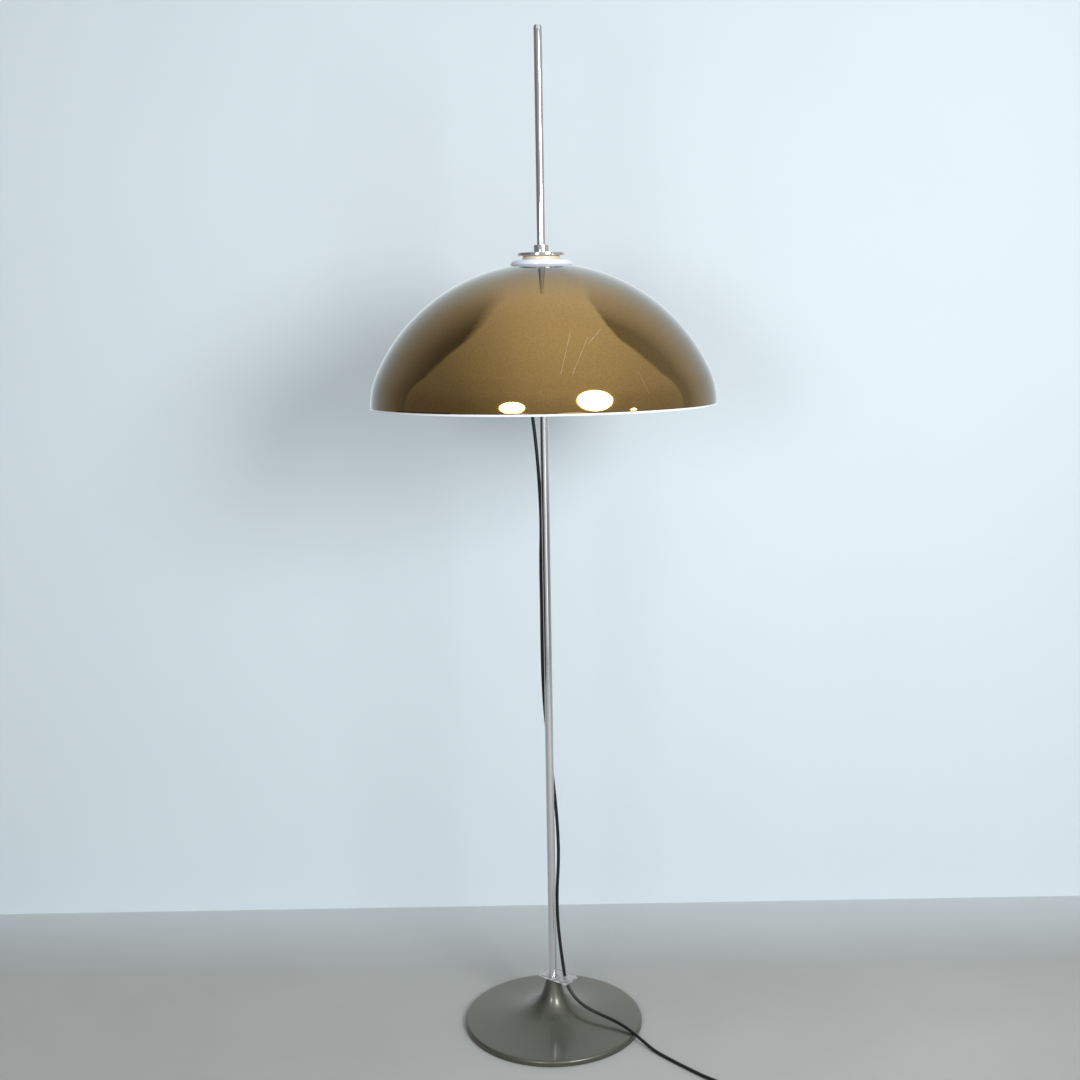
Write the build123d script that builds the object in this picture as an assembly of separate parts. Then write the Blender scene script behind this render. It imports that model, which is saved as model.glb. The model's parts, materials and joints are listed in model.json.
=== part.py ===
from build123d import *
import os
from math import atan2, cos, degrees, hypot, pi, radians, sin, sqrt, tan

# Floor lamp: a weighted trumpet foot carries a thin pole. A domed double shade with three lamps
# slides on the pole and is held by a turning clamp disc on top of it. The supply cord drops
# beside the pole, passes a clear guide plate on the foot and ends in a foot switch and a plug.
# Millimetres. Origin on the floor under the pole's axis, +Z up, +Y away from the viewer.

# ---- fits ----
RUN_FIT = 0.05          # radial play of a sliding or turning fit
SLIP = 0.3              # gap between parts that move past each other without guiding
NEST = 0.1              # gap between nested parts of one body

# ---- pole ----
POLE_R = 6.0
POLE_WALL = 1.2
POLE_SEAT_Z = 16.0      # the tube stands on the ballast here
POLE_TOP_Z = 1485.0
POLE_CAP_H = 5.5
POLE_CAP_ROUND = 4.6
CAP_SPIGOT = 14.0
STUD_R = 4.0
STUD_GRIP = 26.0        # length of the stud inside the tube

# ---- foot ----
FOOT_R = 137.0
FOOT_NECK_R = 10.6
FOOT_NECK_Z = 71.0
FOOT_RIM_Z = 9.2        # height of the flare where the rim's rounding starts
FOOT_RIM_ROUND = 4.0
FOOT_SHEET = 1.6
FLARE_SHIFT = 1.7       # moves the flare's hyperbola sideways, which sets how slim the neck is
FLARE_POINTS = 8
FOOT_LIP_Z = 0.8        # the rim's edge stays this far off the floor
FELT_T = 2.0
FELT_MARGIN = 12.0      # felt and ballast end this far inside the rim
BALLAST_GAP = 0.4       # between the spun cover and the ballast under it
NUT_POCKET_R = 13.0
NUT_POCKET_Z = 11.0
NUT_H = 6.5
NUT_FLATS = 13.0
WASHER_T = 1.6
WASHER_R = 11.5

# ---- cord guide plate ----
GUIDE_SIZE = (54.0, 30.0)
GUIDE_T = 4.0
GUIDE_CENTRE = (8.0, 1.0)
GUIDE_TURN = -37.0
GUIDE_CORD_HOLE_R = 3.8
GUIDE_CORD_AT = (19.0, -1.4)
GUIDE_CORNER_R = 1.5

# ---- shade ----
SHADE_R = 250.0
SHADE_H = 203.5
SHADE_RIM_Z = 955.5
SHOULDER_R = 112.0      # the dome turns in with this arc over its rim, then with a flatter crown arc
BROWN_T = 3.0
LINER_T = 2.0
LIP_H = 3.0             # white rim band under the brown shell's edge
SHADE_HOLE_R = 12.0

# ---- parts stacked on the head's stem ----
STEM_WALL = 2.0
STEM_BELOW = 128.0      # stem length under the shade's top
STEM_ABOVE = 13.9       # and over it
RING_R = 44.5
RING_H = 3.5
RING_ROUND = 5.5
COLLAR_R = 27.0
COLLAR_H = 5.3
COLLAR_ROUND = 1.2
GASKET_R = 40.0
GASKET_W = 8.0
GASKET_T = 3.0
PRESS_PLATE_R = 42.0
PRESS_PLATE_T = 2.0
PRESS_PLATE_ROUND = 1.2
LOCK_NUT_FLATS = 24.0
LOCK_NUT_H = 7.0

# ---- clamp ----
DISC_R = 34.5
DISC_T = 4.5
DISC_EDGE = 0.8
HUB_R = 11.0
HUB_H = 11.3
HUB_EDGE = 0.8
HUB_LID = 2.6
COLLET_WALL = 2.2
COLLET_SLOTS = 3
COLLET_SLOT_W = 1.4

# ---- lamp cluster ----
LAMPS = 3
CUP_R = 30.0
CUP_WALL = 1.5
CUP_H = 50.0
CUP_ROUND = 3.0
CUP_DROP = 61.0         # cup lid under the shade's top
LID_RIM_H = 3.0         # the lid's rim reaches this far into the cup
NIPPLE_R = 5.0
NIPPLE_WALL = 1.0
NIPPLE_IN = 5.0
NIPPLE_OUT = 9.0
NIPPLE_NUT_R = 8.0
NIPPLE_NUT_T = 2.5
HOLDER_R = 18.0
HOLDER_SKIRT_R = 20.5
HOLDER_BACK = 28.0
HOLDER_SKIRT = 20.0
HOLDER_FLOOR = 12.0
HOLDER_BACK_ROUND = 5.0
HOLDER_MOUTH_ROUND = 0.8
HOLDER_GROOVES = 4      # grip grooves round the holder's back
HOLDER_GROOVE_FROM = 8.0
HOLDER_GROOVE_PITCH = 4.5
HOLDER_GROOVE_W = 1.6
HOLDER_GROOVE_D = 0.7
INSERT_CONTACT_R = 3.5
INSERT_CONTACT_H = 3.0
BULB_BASE_R = 13.3
BULB_BASE_L = 27.0
BULB_CONTACT_R = 4.0
BULB_CONE_H = 5.0       # insulated cone under the thread
BULB_COLLAR_H = 2.0     # plain collar between the thread and the glass
BULB_THREADS = 5
BULB_THREAD_D = 1.0
BULB_R = 30.0
BULB_L = 82.0           # glass beyond its base
BULB_WALL = 1.0
BLOCK_SIZE = (26.0, 11.0, 13.0)
BLOCK_EDGE = 1.5
BLOCK_OFF_WALL = 3.0
LEAD_R = 1.2
LEAD_OFF_STEM = (6.5, 2.5)   # free space between the stem and the wide and the slim orbit

# ---- cord ----
CORD_R = 2.5
GLAND_AT = (-21.5, 2.0)
GLAND_R = 6.4
GLAND_HEAD_H = 6.0
GLAND_NUT_H = 5.0
GLAND_ROUND = 1.5
GLAND_NUT_R = 6.8
GLAND_THREAD_R = 4.4    # threaded part inside the cup
GLAND_PAST_NUT = 2.0    # and its length beyond the nut
RELIEF_L = 26.0
RELIEF_R = (4.6, 3.2)
DROP_END_Z = 88.0       # the hanging stretch ends here, just over the guide

# ---- foot switch on the cord ----
SWITCH_AT = (262.0, -262.0)
SWITCH_HEADING = -70.0
SWITCH_L = 70.0
SWITCH_W = 34.0
SWITCH_BASE_H = 7.0
SWITCH_COVER_H = 11.0
SWITCH_EDGE = 3.0
SWITCH_FOOT_EDGE = 1.2
SWITCH_WALL = 2.2
SWITCH_CORD_Z = 7.0
BUTTON_R = 10.5
BUTTON_RISE = 5.0
BUTTON_FLANGE = 1.8
BUTTON_FLANGE_T = 2.0
BUTTON_TRAVEL = 2.5
BUTTON_CROWN = 1.2
BUSH_L = 18.0
BUSH_R = (4.6, 3.2)
BUSH_GRIP = 6.0         # length of the bush inside the switch
SPRING_WIRE_R = 0.5
SPRING_R = 6.0
SPRING_TURNS = 4
SWITCH_SCREW_R = 1.6
SWITCH_SCREW_HEAD_R = 3.0
SWITCH_SCREW_AT = (17.0, 11.0)
SCREW_SINK = 0.9        # the head lies this far inside the base
SCREW_HEAD_H = 1.6
SCREW_BITE = 5.0        # thread length in the cover
SCREW_SLOT_W = 0.9
CONTACT_R = 4.2         # contact block inside the spring, which also stops the button
TAB_AT = 7.2            # terminal tabs start this far from the middle
TAB_SIZE = (3.4, 6.0, 7.0)

# ---- coil of put-away cord ----
COIL_TURNS = 6.5
COIL_MEAN_R = 30.0
COIL_PITCH = 5.5
COIL_CENTRE = (246.6, -366.0)
COIL_START = -8.0       # where the cord joins the outer turn, seen from the coil's middle

# ---- plug ----
PLUG_L = 36.0
PLUG_W = 26.0
PLUG_T = 13.5
PLUG_TAPER_L = 22.0
PLUG_TAPER_R = (4.8, 3.1)
PLUG_OVER_TAPER = 4.0   # the flat body starts this far inside the taper
PIN_R = 2.0
PIN_L = 19.0
PIN_SPREAD = 18.6
PLUG_EDGE = 3.0
TAIL_L = 42.0           # cord between the coil and the plug

# ---- levels worked out from the sizes above ----
SHADE_TOP_Z = SHADE_RIM_Z + SHADE_H
DOME_BASE_Z = SHADE_RIM_Z + LIP_H
DOME_RISE = SHADE_H - LIP_H
SKIN_T = BROWN_T + NEST + LINER_T
STEM_IN_R = POLE_R + RUN_FIT
STEM_R = STEM_IN_R + STEM_WALL
STEM_TOP_Z = SHADE_TOP_Z + STEM_ABOVE
RING_TOP_Z = SHADE_TOP_Z + RING_H
COLLAR_TOP_Z = RING_TOP_Z + COLLAR_H
DISC_Z = COLLAR_TOP_Z + SLIP
HUB_TOP_Z = DISC_Z + DISC_T + HUB_H
CUP_TOP_Z = SHADE_TOP_Z - CUP_DROP
CUP_Z = CUP_TOP_Z - CUP_H
LAMP_Z = CUP_Z + CUP_H / 2
HOLDER_START = CUP_R + 1.0
GUIDE_TOP_Z = FOOT_NECK_Z + GUIDE_T
GLAND_Z = CUP_Z - GLAND_HEAD_H
CORD_EXIT_Z = GLAND_Z - RELIEF_L
GLAND_TOP_Z = CUP_Z + CUP_WALL + GLAND_NUT_H + GLAND_PAST_NUT
BUTTON_Z = SWITCH_BASE_H + SWITCH_COVER_H
FLOOR_CORD_Z = CORD_R + NEST
COIL_OUT_R = COIL_MEAN_R + COIL_PITCH * COIL_TURNS / 4
HOLDER_MOUTH = HOLDER_START + HOLDER_BACK + HOLDER_SKIRT


# ---- small helpers ----
def ring(low, high, inner, outer):
    """Upright tube or washer between two heights."""
    body = Pos(0, 0, low) * Cylinder(outer, high - low, align=(Align.CENTER, Align.CENTER, Align.MIN))
    if inner > 0:
        tool = Cylinder(inner, high - low + 2, align=(Align.CENTER, Align.CENTER, Align.MIN))
        body -= Pos(0, 0, low - 1) * tool
    return body


def spin(outline):
    """Turn a closed (radius, height) outline round the pole's axis."""
    return revolve(Plane.XZ * make_face(outline), Axis.Z)


def hex_nut(low, height, flats, bore):
    """Chamfered hexagon nut."""
    blank = extrude(Pos(0, 0, low) * RegularPolygon(flats / 2, 6, major_radius=False), height)
    corner = flats / sqrt(3)
    tip = spin(
        Polyline(
            (0, low), (flats / 2, low), (corner + 0.1, low + 0.8),
            (corner + 0.1, low + height - 0.8), (flats / 2, low + height), (0, low + height), close=True,
        )
    )
    return (blank & tip) - ring(low - 1, low + height + 1, 0, bore)


def lay(part, origin, heading):
    """Place a part made along +X at a point, turned to a heading in the floor plane."""
    return Pos(*origin) * Rot(0, 0, heading) * part


# ---- foot ----
def flare_point(radius):
    """Height and slope of the trumpet: a hyperbola from the neck down to the rim."""
    end = FOOT_R - FOOT_RIM_ROUND
    near, far = 1 / (FOOT_NECK_R + FLARE_SHIFT), 1 / (end + FLARE_SHIFT)
    strength = (FOOT_NECK_Z - FOOT_RIM_Z) / (near - far)
    height = FOOT_RIM_Z + strength * (1 / (radius + FLARE_SHIFT) - far)
    slope = -strength / (radius + FLARE_SHIFT) ** 2
    return height, slope


def flare(offset, stop):
    """Curve of the trumpet moved inwards by offset, from the neck out to the radius stop."""
    growth = (stop / FOOT_NECK_R) ** (1 / (FLARE_POINTS - 1))
    points = []
    for i in range(FLARE_POINTS):
        radius = FOOT_NECK_R * growth**i
        height, slope = flare_point(radius)
        size = hypot(slope, 1)
        points.append((radius + offset * slope / size, height - offset / size))
    return Spline(*points), points[0], points[-1]


def under_flare(offset, stop, low_z):
    """Solid of revolution under the trumpet's curve, down to low_z."""
    curve, top, low = flare(offset, stop)
    return spin(curve + Polyline(low, (low[0], low_z), (0, low_z), (0, top[1]), top))


def rim_solid(inset, low_z):
    """Rounded edge that the flare runs into, moved inwards by inset."""
    end = FOOT_R - FOOT_RIM_ROUND
    top = FOOT_RIM_Z - inset
    blank = ring(low_z, top, 0, FOOT_R - inset)
    blank = fillet(blank.edges().group_by(Axis.Z)[-1], FOOT_RIM_ROUND - inset)
    return blank - ring(low_z - 1, top + 1, 0, end - FOOT_SHEET)


def foot_shell():
    """Spun trumpet cover: a thin wall that follows the flare, with a flat lid at its neck."""
    end = FOOT_R - FOOT_RIM_ROUND
    lid_z = FOOT_NECK_Z - FOOT_SHEET
    shell = under_flare(0, end, FOOT_LIP_Z) + rim_solid(0, FOOT_LIP_Z)
    hollow = under_flare(FOOT_SHEET, end, FOOT_LIP_Z - 1) - ring(lid_z, FOOT_NECK_Z + 1, 0, FOOT_R)
    hollow += rim_solid(FOOT_SHEET, FOOT_LIP_Z - 1)
    return shell - hollow - ring(0, FOOT_NECK_Z + 1, 0, POLE_R + RUN_FIT)


def foot_ballast():
    """Cast weight that fills the cover, with the pole's seat and a pocket for the nut."""
    lid_z = FOOT_NECK_Z - FOOT_SHEET
    weight = under_flare(FOOT_SHEET + BALLAST_GAP, FOOT_R - FELT_MARGIN, FELT_T)
    weight -= ring(lid_z, FOOT_NECK_Z + 1, 0, FOOT_R)
    weight -= ring(POLE_SEAT_Z, FOOT_NECK_Z + 1, 0, POLE_R + RUN_FIT)
    weight -= ring(NUT_POCKET_Z - 1, POLE_SEAT_Z + 1, 0, STUD_R + NEST)
    return weight - ring(FELT_T - 1, NUT_POCKET_Z, 0, NUT_POCKET_R)


def foot_pad():
    return fillet(ring(0, FELT_T, 0, FOOT_R - FELT_MARGIN).edges().group_by(Axis.Z)[0], 0.5)


def foot_washer():
    return ring(NUT_POCKET_Z - WASHER_T, NUT_POCKET_Z, STUD_R + NEST, WASHER_R)


def foot_nut():
    return hex_nut(NUT_POCKET_Z - WASHER_T - NUT_H, NUT_H, NUT_FLATS, STUD_R + NEST / 4)


# ---- pole ----
def pole():
    return ring(POLE_SEAT_Z, POLE_TOP_Z - POLE_CAP_H, POLE_R - POLE_WALL, POLE_R)


def pole_cap():
    """Rounded plug in the pole's open end."""
    seat = POLE_TOP_Z - POLE_CAP_H
    cap = fillet(ring(seat, POLE_TOP_Z, 0, POLE_R).edges().group_by(Axis.Z)[-1], POLE_CAP_ROUND)
    spigot = ring(seat - CAP_SPIGOT, seat, 0, POLE_R - POLE_WALL - NEST / 4)
    return cap + chamfer(spigot.edges().group_by(Axis.Z)[0], 0.6)


def pole_stud():
    """Threaded insert in the pole's foot that the nut under the ballast pulls on."""
    plug = ring(POLE_SEAT_Z, POLE_SEAT_Z + STUD_GRIP, 0, POLE_R - POLE_WALL - NEST / 4)
    stud = chamfer(ring(FELT_T + SLIP, POLE_SEAT_Z, 0, STUD_R).edges().group_by(Axis.Z)[0], 0.6)
    return plug + stud


# ---- cord guide ----
def cord_guide():
    plate = Pos(*GUIDE_CENTRE, FOOT_NECK_Z) * Rot(0, 0, GUIDE_TURN) * Box(
        *GUIDE_SIZE, GUIDE_T, align=(Align.CENTER, Align.CENTER, Align.MIN)
    )
    plate = fillet(plate.edges().filter_by(Axis.Z), GUIDE_CORNER_R)
    plate = chamfer(plate.edges().group_by(Axis.Z)[-1], 0.4)
    plate -= ring(FOOT_NECK_Z - 1, GUIDE_TOP_Z + 1, 0, POLE_R + RUN_FIT)
    plate -= Pos(*GUIDE_CORD_AT, 0) * ring(FOOT_NECK_Z - 1, GUIDE_TOP_Z + 1, 0, GUIDE_CORD_HOLE_R)
    return plate


# ---- shade ----
def dome_arcs(offset):
    """Radii of the shoulder and the crown, the crown's centre height and the angle where they meet."""
    wide, high, shoulder = SHADE_R + offset, DOME_RISE + offset, SHOULDER_R + offset
    crown = (wide**2 - 2 * wide * shoulder + high**2) / (2 * (high - shoulder))
    centre_z = DOME_BASE_Z + high - crown
    return shoulder, crown, centre_z, degrees(atan2(DOME_BASE_Z - centre_z, wide - shoulder))


def dome(offset):
    """Solid of the dome on its base plane, grown by offset: a shoulder arc and a crown arc."""
    shoulder, crown, centre_z, turn = dome_arcs(offset)
    wide, top_z = SHADE_R + offset, centre_z + crown
    outline = CenterArc((wide - shoulder, DOME_BASE_Z), shoulder, 0, turn)
    outline += CenterArc((0, centre_z), crown, turn, 90 - turn)
    outline += Polyline((0, top_z), (0, DOME_BASE_Z), (wide, DOME_BASE_Z))
    return spin(outline)


def shade_hole():
    return ring(SHADE_TOP_Z - 40, SHADE_TOP_Z + 5, 0, SHADE_HOLE_R)


def shade_outer():
    return dome(0) - dome(-BROWN_T) - shade_hole()


def shade_liner():
    shell = dome(-BROWN_T - NEST) - dome(-SKIN_T)
    lip = ring(SHADE_RIM_Z, DOME_BASE_Z, SHADE_R - SKIN_T, SHADE_R)
    lip = fillet(lip.edges().group_by(Axis.Z)[0].sort_by(SortBy.RADIUS)[-1], LIP_H / 3)
    return shell + lip - shade_hole()


# ---- stem and what is stacked on it ----
def stem():
    tube = ring(SHADE_TOP_Z - STEM_BELOW, STEM_TOP_Z, STEM_IN_R, STEM_R)
    return chamfer(tube.edges().group_by(Axis.Z)[0].sort_by(SortBy.RADIUS)[-1], 0.8)


def top_ring():
    blank = ring(SHADE_TOP_Z - 20, RING_TOP_Z, STEM_R + RUN_FIT, RING_R)
    blank = fillet(blank.edges().group_by(Axis.Z)[-1].sort_by(SortBy.RADIUS)[-1], RING_ROUND)
    return blank - dome(NEST / 2)


def collar_nut():
    blank = ring(RING_TOP_Z, COLLAR_TOP_Z, STEM_R + RUN_FIT, COLLAR_R)
    return fillet(blank.edges().group_by(Axis.Z)[-1].sort_by(SortBy.RADIUS)[-1], COLLAR_ROUND)


def gasket_low_z():
    _, crown, centre_z, _ = dome_arcs(-SKIN_T)
    return centre_z + sqrt(crown**2 - (GASKET_R - GASKET_W) ** 2) - GASKET_T - NEST


def shade_gasket():
    low = gasket_low_z()
    blank = ring(low, SHADE_TOP_Z, GASKET_R - GASKET_W, GASKET_R)
    return blank & dome(-SKIN_T - NEST)


def press_plate():
    top = gasket_low_z()
    plate = ring(top - PRESS_PLATE_T, top, STEM_R + RUN_FIT, PRESS_PLATE_R)
    return fillet(plate.edges().group_by(Axis.Z)[0].sort_by(SortBy.RADIUS)[-1], PRESS_PLATE_ROUND)


def lock_nuts():
    """Three hexagon nuts on the stem: under the press plate, over and under the lamp cup."""
    under_plate = gasket_low_z() - PRESS_PLATE_T - LOCK_NUT_H
    lows = (under_plate, CUP_TOP_Z + CUP_WALL, CUP_Z - LOCK_NUT_H)
    return [hex_nut(low, LOCK_NUT_H, LOCK_NUT_FLATS, STEM_R + RUN_FIT / 2) for low in lows]


# ---- clamp ----
def clamp_knob():
    """Turning disc with its hub: the bore runs on the stem, the recess presses the collet."""
    disc = ring(DISC_Z, DISC_Z + DISC_T, 0, DISC_R)
    rims = disc.edges().filter_by(GeomType.CIRCLE)
    disc = chamfer(rims, DISC_EDGE)
    hub = ring(DISC_Z + DISC_T, HUB_TOP_Z, 0, HUB_R)
    hub = chamfer(hub.edges().group_by(Axis.Z)[-1], HUB_EDGE)
    knob = disc + hub
    knob -= ring(DISC_Z - 1, STEM_TOP_Z + SLIP, 0, STEM_R + RUN_FIT)
    knob -= ring(STEM_TOP_Z, HUB_TOP_Z - HUB_LID, 0, POLE_R + COLLET_WALL + SLIP)
    knob -= ring(DISC_Z, HUB_TOP_Z + 1, 0, POLE_R + SLIP)
    return knob


def collet():
    """Split ring that the knob squeezes onto the pole."""
    low = STEM_TOP_Z
    high = HUB_TOP_Z - HUB_LID - SLIP
    sleeve = ring(low, high, STEM_IN_R, POLE_R + COLLET_WALL)
    sleeve = chamfer(sleeve.edges().group_by(Axis.Z)[-1].sort_by(SortBy.RADIUS)[-1], 1.0)
    slot_low = low + (high - low) / 3
    for i in range(COLLET_SLOTS):
        slot = Pos(POLE_R + COLLET_WALL / 2, 0, (slot_low + high + 1) / 2) * Box(
            2 * COLLET_WALL, COLLET_SLOT_W, high + 1 - slot_low
        )
        sleeve -= Rot(0, 0, 360 * i / COLLET_SLOTS) * slot
    return sleeve


# ---- lamp cluster ----
def radial(part, i):
    """Turn a part made along +X at the lamps' level to lamp number i."""
    return Rot(0, 0, 360 * i / LAMPS) * Pos(0, 0, LAMP_Z) * part


def along_x(part):
    """Lay a part made along +Z down along +X."""
    return Rot(0, 90, 0) * part


def lamp_cup():
    cup = ring(CUP_Z, CUP_TOP_Z, 0, CUP_R)
    cup = fillet(cup.edges().group_by(Axis.Z)[0], CUP_ROUND)
    cup -= ring(CUP_Z + CUP_WALL, CUP_TOP_Z + 1, 0, CUP_R - CUP_WALL)
    cup -= ring(CUP_Z - 1, CUP_Z + 5, 0, STEM_R + RUN_FIT)
    cup -= Pos(*GLAND_AT, 0) * ring(CUP_Z - 1, CUP_Z + 5, 0, GLAND_THREAD_R + NEST)
    for i in range(LAMPS):
        cup -= radial(along_x(ring(CUP_R - 5, CUP_R + 5, 0, NIPPLE_R + NEST / 2)), i)
    return cup


def cup_lid():
    lid = ring(CUP_TOP_Z, CUP_TOP_Z + CUP_WALL, STEM_R + RUN_FIT, CUP_R)
    rim = CUP_R - CUP_WALL - NEST
    lid += ring(CUP_TOP_Z - LID_RIM_H, CUP_TOP_Z, rim - CUP_WALL, rim)
    return lid


def lamp_nipple():
    return ring(CUP_R - CUP_WALL - NIPPLE_IN, HOLDER_START + NIPPLE_OUT, NIPPLE_R - NIPPLE_WALL, NIPPLE_R)


def nipple_nut():
    # flat on the inside of the round cup wall, so it bears on two edges of the wall
    seat = sqrt((CUP_R - CUP_WALL) ** 2 - NIPPLE_NUT_R**2)
    return hex_nut(seat - NIPPLE_NUT_T, NIPPLE_NUT_T, NIPPLE_NUT_R * sqrt(3), NIPPLE_R + NEST / 4)


def lampholder():
    """Moulded holder: a rounded back with grip grooves, a wider skirt and the socket's bore."""
    back = HOLDER_START
    step = back + HOLDER_BACK
    mouth = HOLDER_MOUTH
    body = ring(back, step, 0, HOLDER_R)
    body = fillet(body.edges().group_by(Axis.Z)[0], HOLDER_BACK_ROUND)
    for i in range(HOLDER_GROOVES):
        low = back + HOLDER_GROOVE_FROM + i * HOLDER_GROOVE_PITCH
        body -= ring(low, low + HOLDER_GROOVE_W, HOLDER_R - HOLDER_GROOVE_D, HOLDER_R + SLIP)
    skirt = ring(step, mouth, 0, HOLDER_SKIRT_R)
    skirt = fillet(skirt.edges().group_by(Axis.Z)[-1], HOLDER_MOUTH_ROUND)
    body += skirt
    body -= ring(back + HOLDER_FLOOR, mouth + 1, 0, BULB_BASE_R + SLIP)
    body -= ring(back - 1, back + HOLDER_FLOOR + 1, 0, NIPPLE_R + NEST / 4)
    return body


def socket_insert():
    """Ceramic insert at the bottom of the holder's bore, with the middle contact."""
    low = HOLDER_START + HOLDER_FLOOR
    high = HOLDER_MOUTH - BULB_BASE_L
    body = ring(low, high - INSERT_CONTACT_H, 0, BULB_BASE_R)
    return body + ring(high - INSERT_CONTACT_H, high - NEST, 0, INSERT_CONTACT_R)


def bulb_base():
    """Screw base: rolled thread rings, tapering to the insulated end contact."""
    start = HOLDER_MOUTH - BULB_BASE_L
    first = start + BULB_CONE_H
    last = HOLDER_MOUTH - BULB_COLLAR_H
    pitch = (last - first) / BULB_THREADS
    root = BULB_BASE_R - BULB_THREAD_D
    outline = Polyline((0, start), (BULB_CONTACT_R, start), (root, first))
    for i in range(BULB_THREADS):
        low = first + i * pitch
        outline += ThreePointArc((root, low), (BULB_BASE_R, low + pitch / 2), (root, low + pitch))
    outline += Polyline((root, last), (root, HOLDER_MOUTH), (0, HOLDER_MOUTH), (0, start))
    return spin(outline)


def bulb_form(inset):
    """Pear shape moved inwards by inset: a neck that swells into a ball."""
    neck, slim = HOLDER_MOUTH, BULB_BASE_R - 1 - inset
    ball = BULB_R - inset
    middle = neck + BULB_L - BULB_R
    outline = Polyline((0, neck), (slim, neck), (slim, neck + 3))
    outline += Spline((slim, neck + 3), (ball, middle), tangents=((0.12, 1), (0, 1)))
    outline += JernArc((ball, middle), (0, 1), ball, 90)
    outline += Line((0, middle + ball), (0, neck))
    return spin(outline)


def bulb_glass():
    return bulb_form(0) - bulb_form(BULB_WALL)


def block_middle():
    """Distance of the terminal block from the pole's axis."""
    return CUP_R - CUP_WALL - BLOCK_SIZE[1] / 2 - BLOCK_OFF_WALL


def terminal_block():
    """Screw terminals on the cup's floor, half-way between two lampholders."""
    block = Box(*BLOCK_SIZE, align=(Align.CENTER, Align.CENTER, Align.MIN))
    block = fillet(block.edges().filter_by(Axis.Z), BLOCK_EDGE)
    return Rot(0, 0, 180 / LAMPS) * Pos(block_middle(), 0, CUP_Z + CUP_WALL) * Rot(0, 0, 90) * block


def polar(radius, angle, height):
    return Vector(radius * cos(radians(angle)), radius * sin(radians(angle)), height)


def lead(starts, angle, orbit, height, slot):
    """Insulated wire that circles the stem inside the cup and drops onto the terminal block."""
    block_angle = 180 / LAMPS
    travel = (block_angle - angle + 180) % 360 - 180
    steps = max(2, round(abs(travel) / 45))
    points = list(starts)
    for k in range(1, steps):
        points.append(polar(orbit, angle + travel * k / steps, height + k % 2))
    block_top = CUP_Z + CUP_WALL + BLOCK_SIZE[2]
    spot = polar(block_middle(), block_angle, 0)
    spot += polar(BLOCK_SIZE[0] * slot, block_angle + 90, 0)
    points += [Vector(spot.X, spot.Y, height), Vector(spot.X, spot.Y, block_top)]
    return tube(points, LEAD_R, "inner lead")


def inner_leads():
    """A wire from each socket insert and one from the gland to the terminal block."""
    wide, slim = [STEM_R + LEAD_R + off for off in LEAD_OFF_STEM]
    orbits = ((wide, 4, -0.36), (wide, 4, 0.36), (slim, 9, -0.12))
    leads = []
    for i, (orbit, lift, slot) in enumerate(orbits):
        angle = 360 * i / LAMPS
        starts = [
            polar(HOLDER_START + HOLDER_FLOOR, angle, LAMP_Z),
            polar(CUP_R - CUP_WALL - NIPPLE_IN - 2, angle, LAMP_Z),
        ]
        leads.append(lead(starts, angle, orbit, LAMP_Z + lift, slot))
    starts = [Vector(*GLAND_AT, GLAND_TOP_Z), Vector(*GLAND_AT, GLAND_TOP_Z + 7)]
    angle = degrees(atan2(GLAND_AT[1], GLAND_AT[0]))
    leads.append(lead(starts, angle, wide, LAMP_Z - 6, 0.12))
    return leads


# ---- cords ----
def corner_radii(points):
    """Each arc is 0.45 of its shorter run over the tangent of half the turn."""
    radii = []
    for before, at, after in zip(points, points[1:], points[2:]):
        turn = radians((at - before).get_angle(after - at))
        run = min((at - before).length, (after - at).length)
        radii.append(0.45 * run / tan(turn / 2))
    return radii


def tube(points, radius, name):
    """Round cord along straight runs joined by tangent arcs."""
    points = [Vector(*p) for p in points]
    radii = corner_radii(points)
    path = FilletPolyline(*points, radius=radii)
    section = Plane(path @ 0, z_dir=path % 0) * Circle(radius)
    body = sweep(section, path)
    ratio = body.volume / (pi * radius**2 * path.length)
    print(f"{name}: {path.length:.1f} mm, tightest arc {min(radii):.1f} mm, volume ratio {ratio:.4f}")
    return body


# The cord's route is a list chosen by hand. It hangs from the gland, drifts behind the pole,
# comes out on its other side and passes the guide plate.
DROP_ROUTE = [
    (GLAND_AT[0], GLAND_AT[1], CORD_EXIT_Z),
    (GLAND_AT[0], GLAND_AT[1], 974.0),
    (-15.2, 3.4, 930.0),
    (-11.0, 4.8, 884.0),
    (-8.2, 6.8, 838.0),
    (-6.4, 8.4, 782.0),
    (-8.4, 6.6, 724.0),
    (-8.0, 7.2, 662.0),
    (-8.5, 6.5, 590.0),
    (-7.4, 7.8, 520.0),
    (-3.2, 9.8, 462.0),
    (2.4, 10.2, 410.0),
    (7.6, 7.8, 358.0),
    (10.8, 4.6, 312.0),
    (11.8, 3.4, 264.0),
    (7.8, 7.2, 206.0),
    (8.8, 5.8, 158.0),
    (12.6, 2.2, 118.0),
    (16.4, -0.4, DROP_END_Z),
]
# Through the guide's hole, over the foot's flare, down across its rim and along the floor
# to the foot switch.
RUN_ROUTE = [
    (16.4, -0.4, DROP_END_Z),
    (18.68, -1.96, 70.0),
    (24.5, -6.5, 55.5),
    (36.0, -13.2, 40.5),
    (53.0, -20.0, 29.5),
    (74.0, -28.5, 23.0),
    (97.0, -40.0, 17.6),
    (117.0, -58.0, 12.6),
    (134.0, -80.0, 7.2),
    (150.0, -100.5, FLOOR_CORD_Z),
    (170.0, -123.5, FLOOR_CORD_Z),
    (192.0, -147.0, FLOOR_CORD_Z),
    (216.0, -172.0, 2.8),
]


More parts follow.
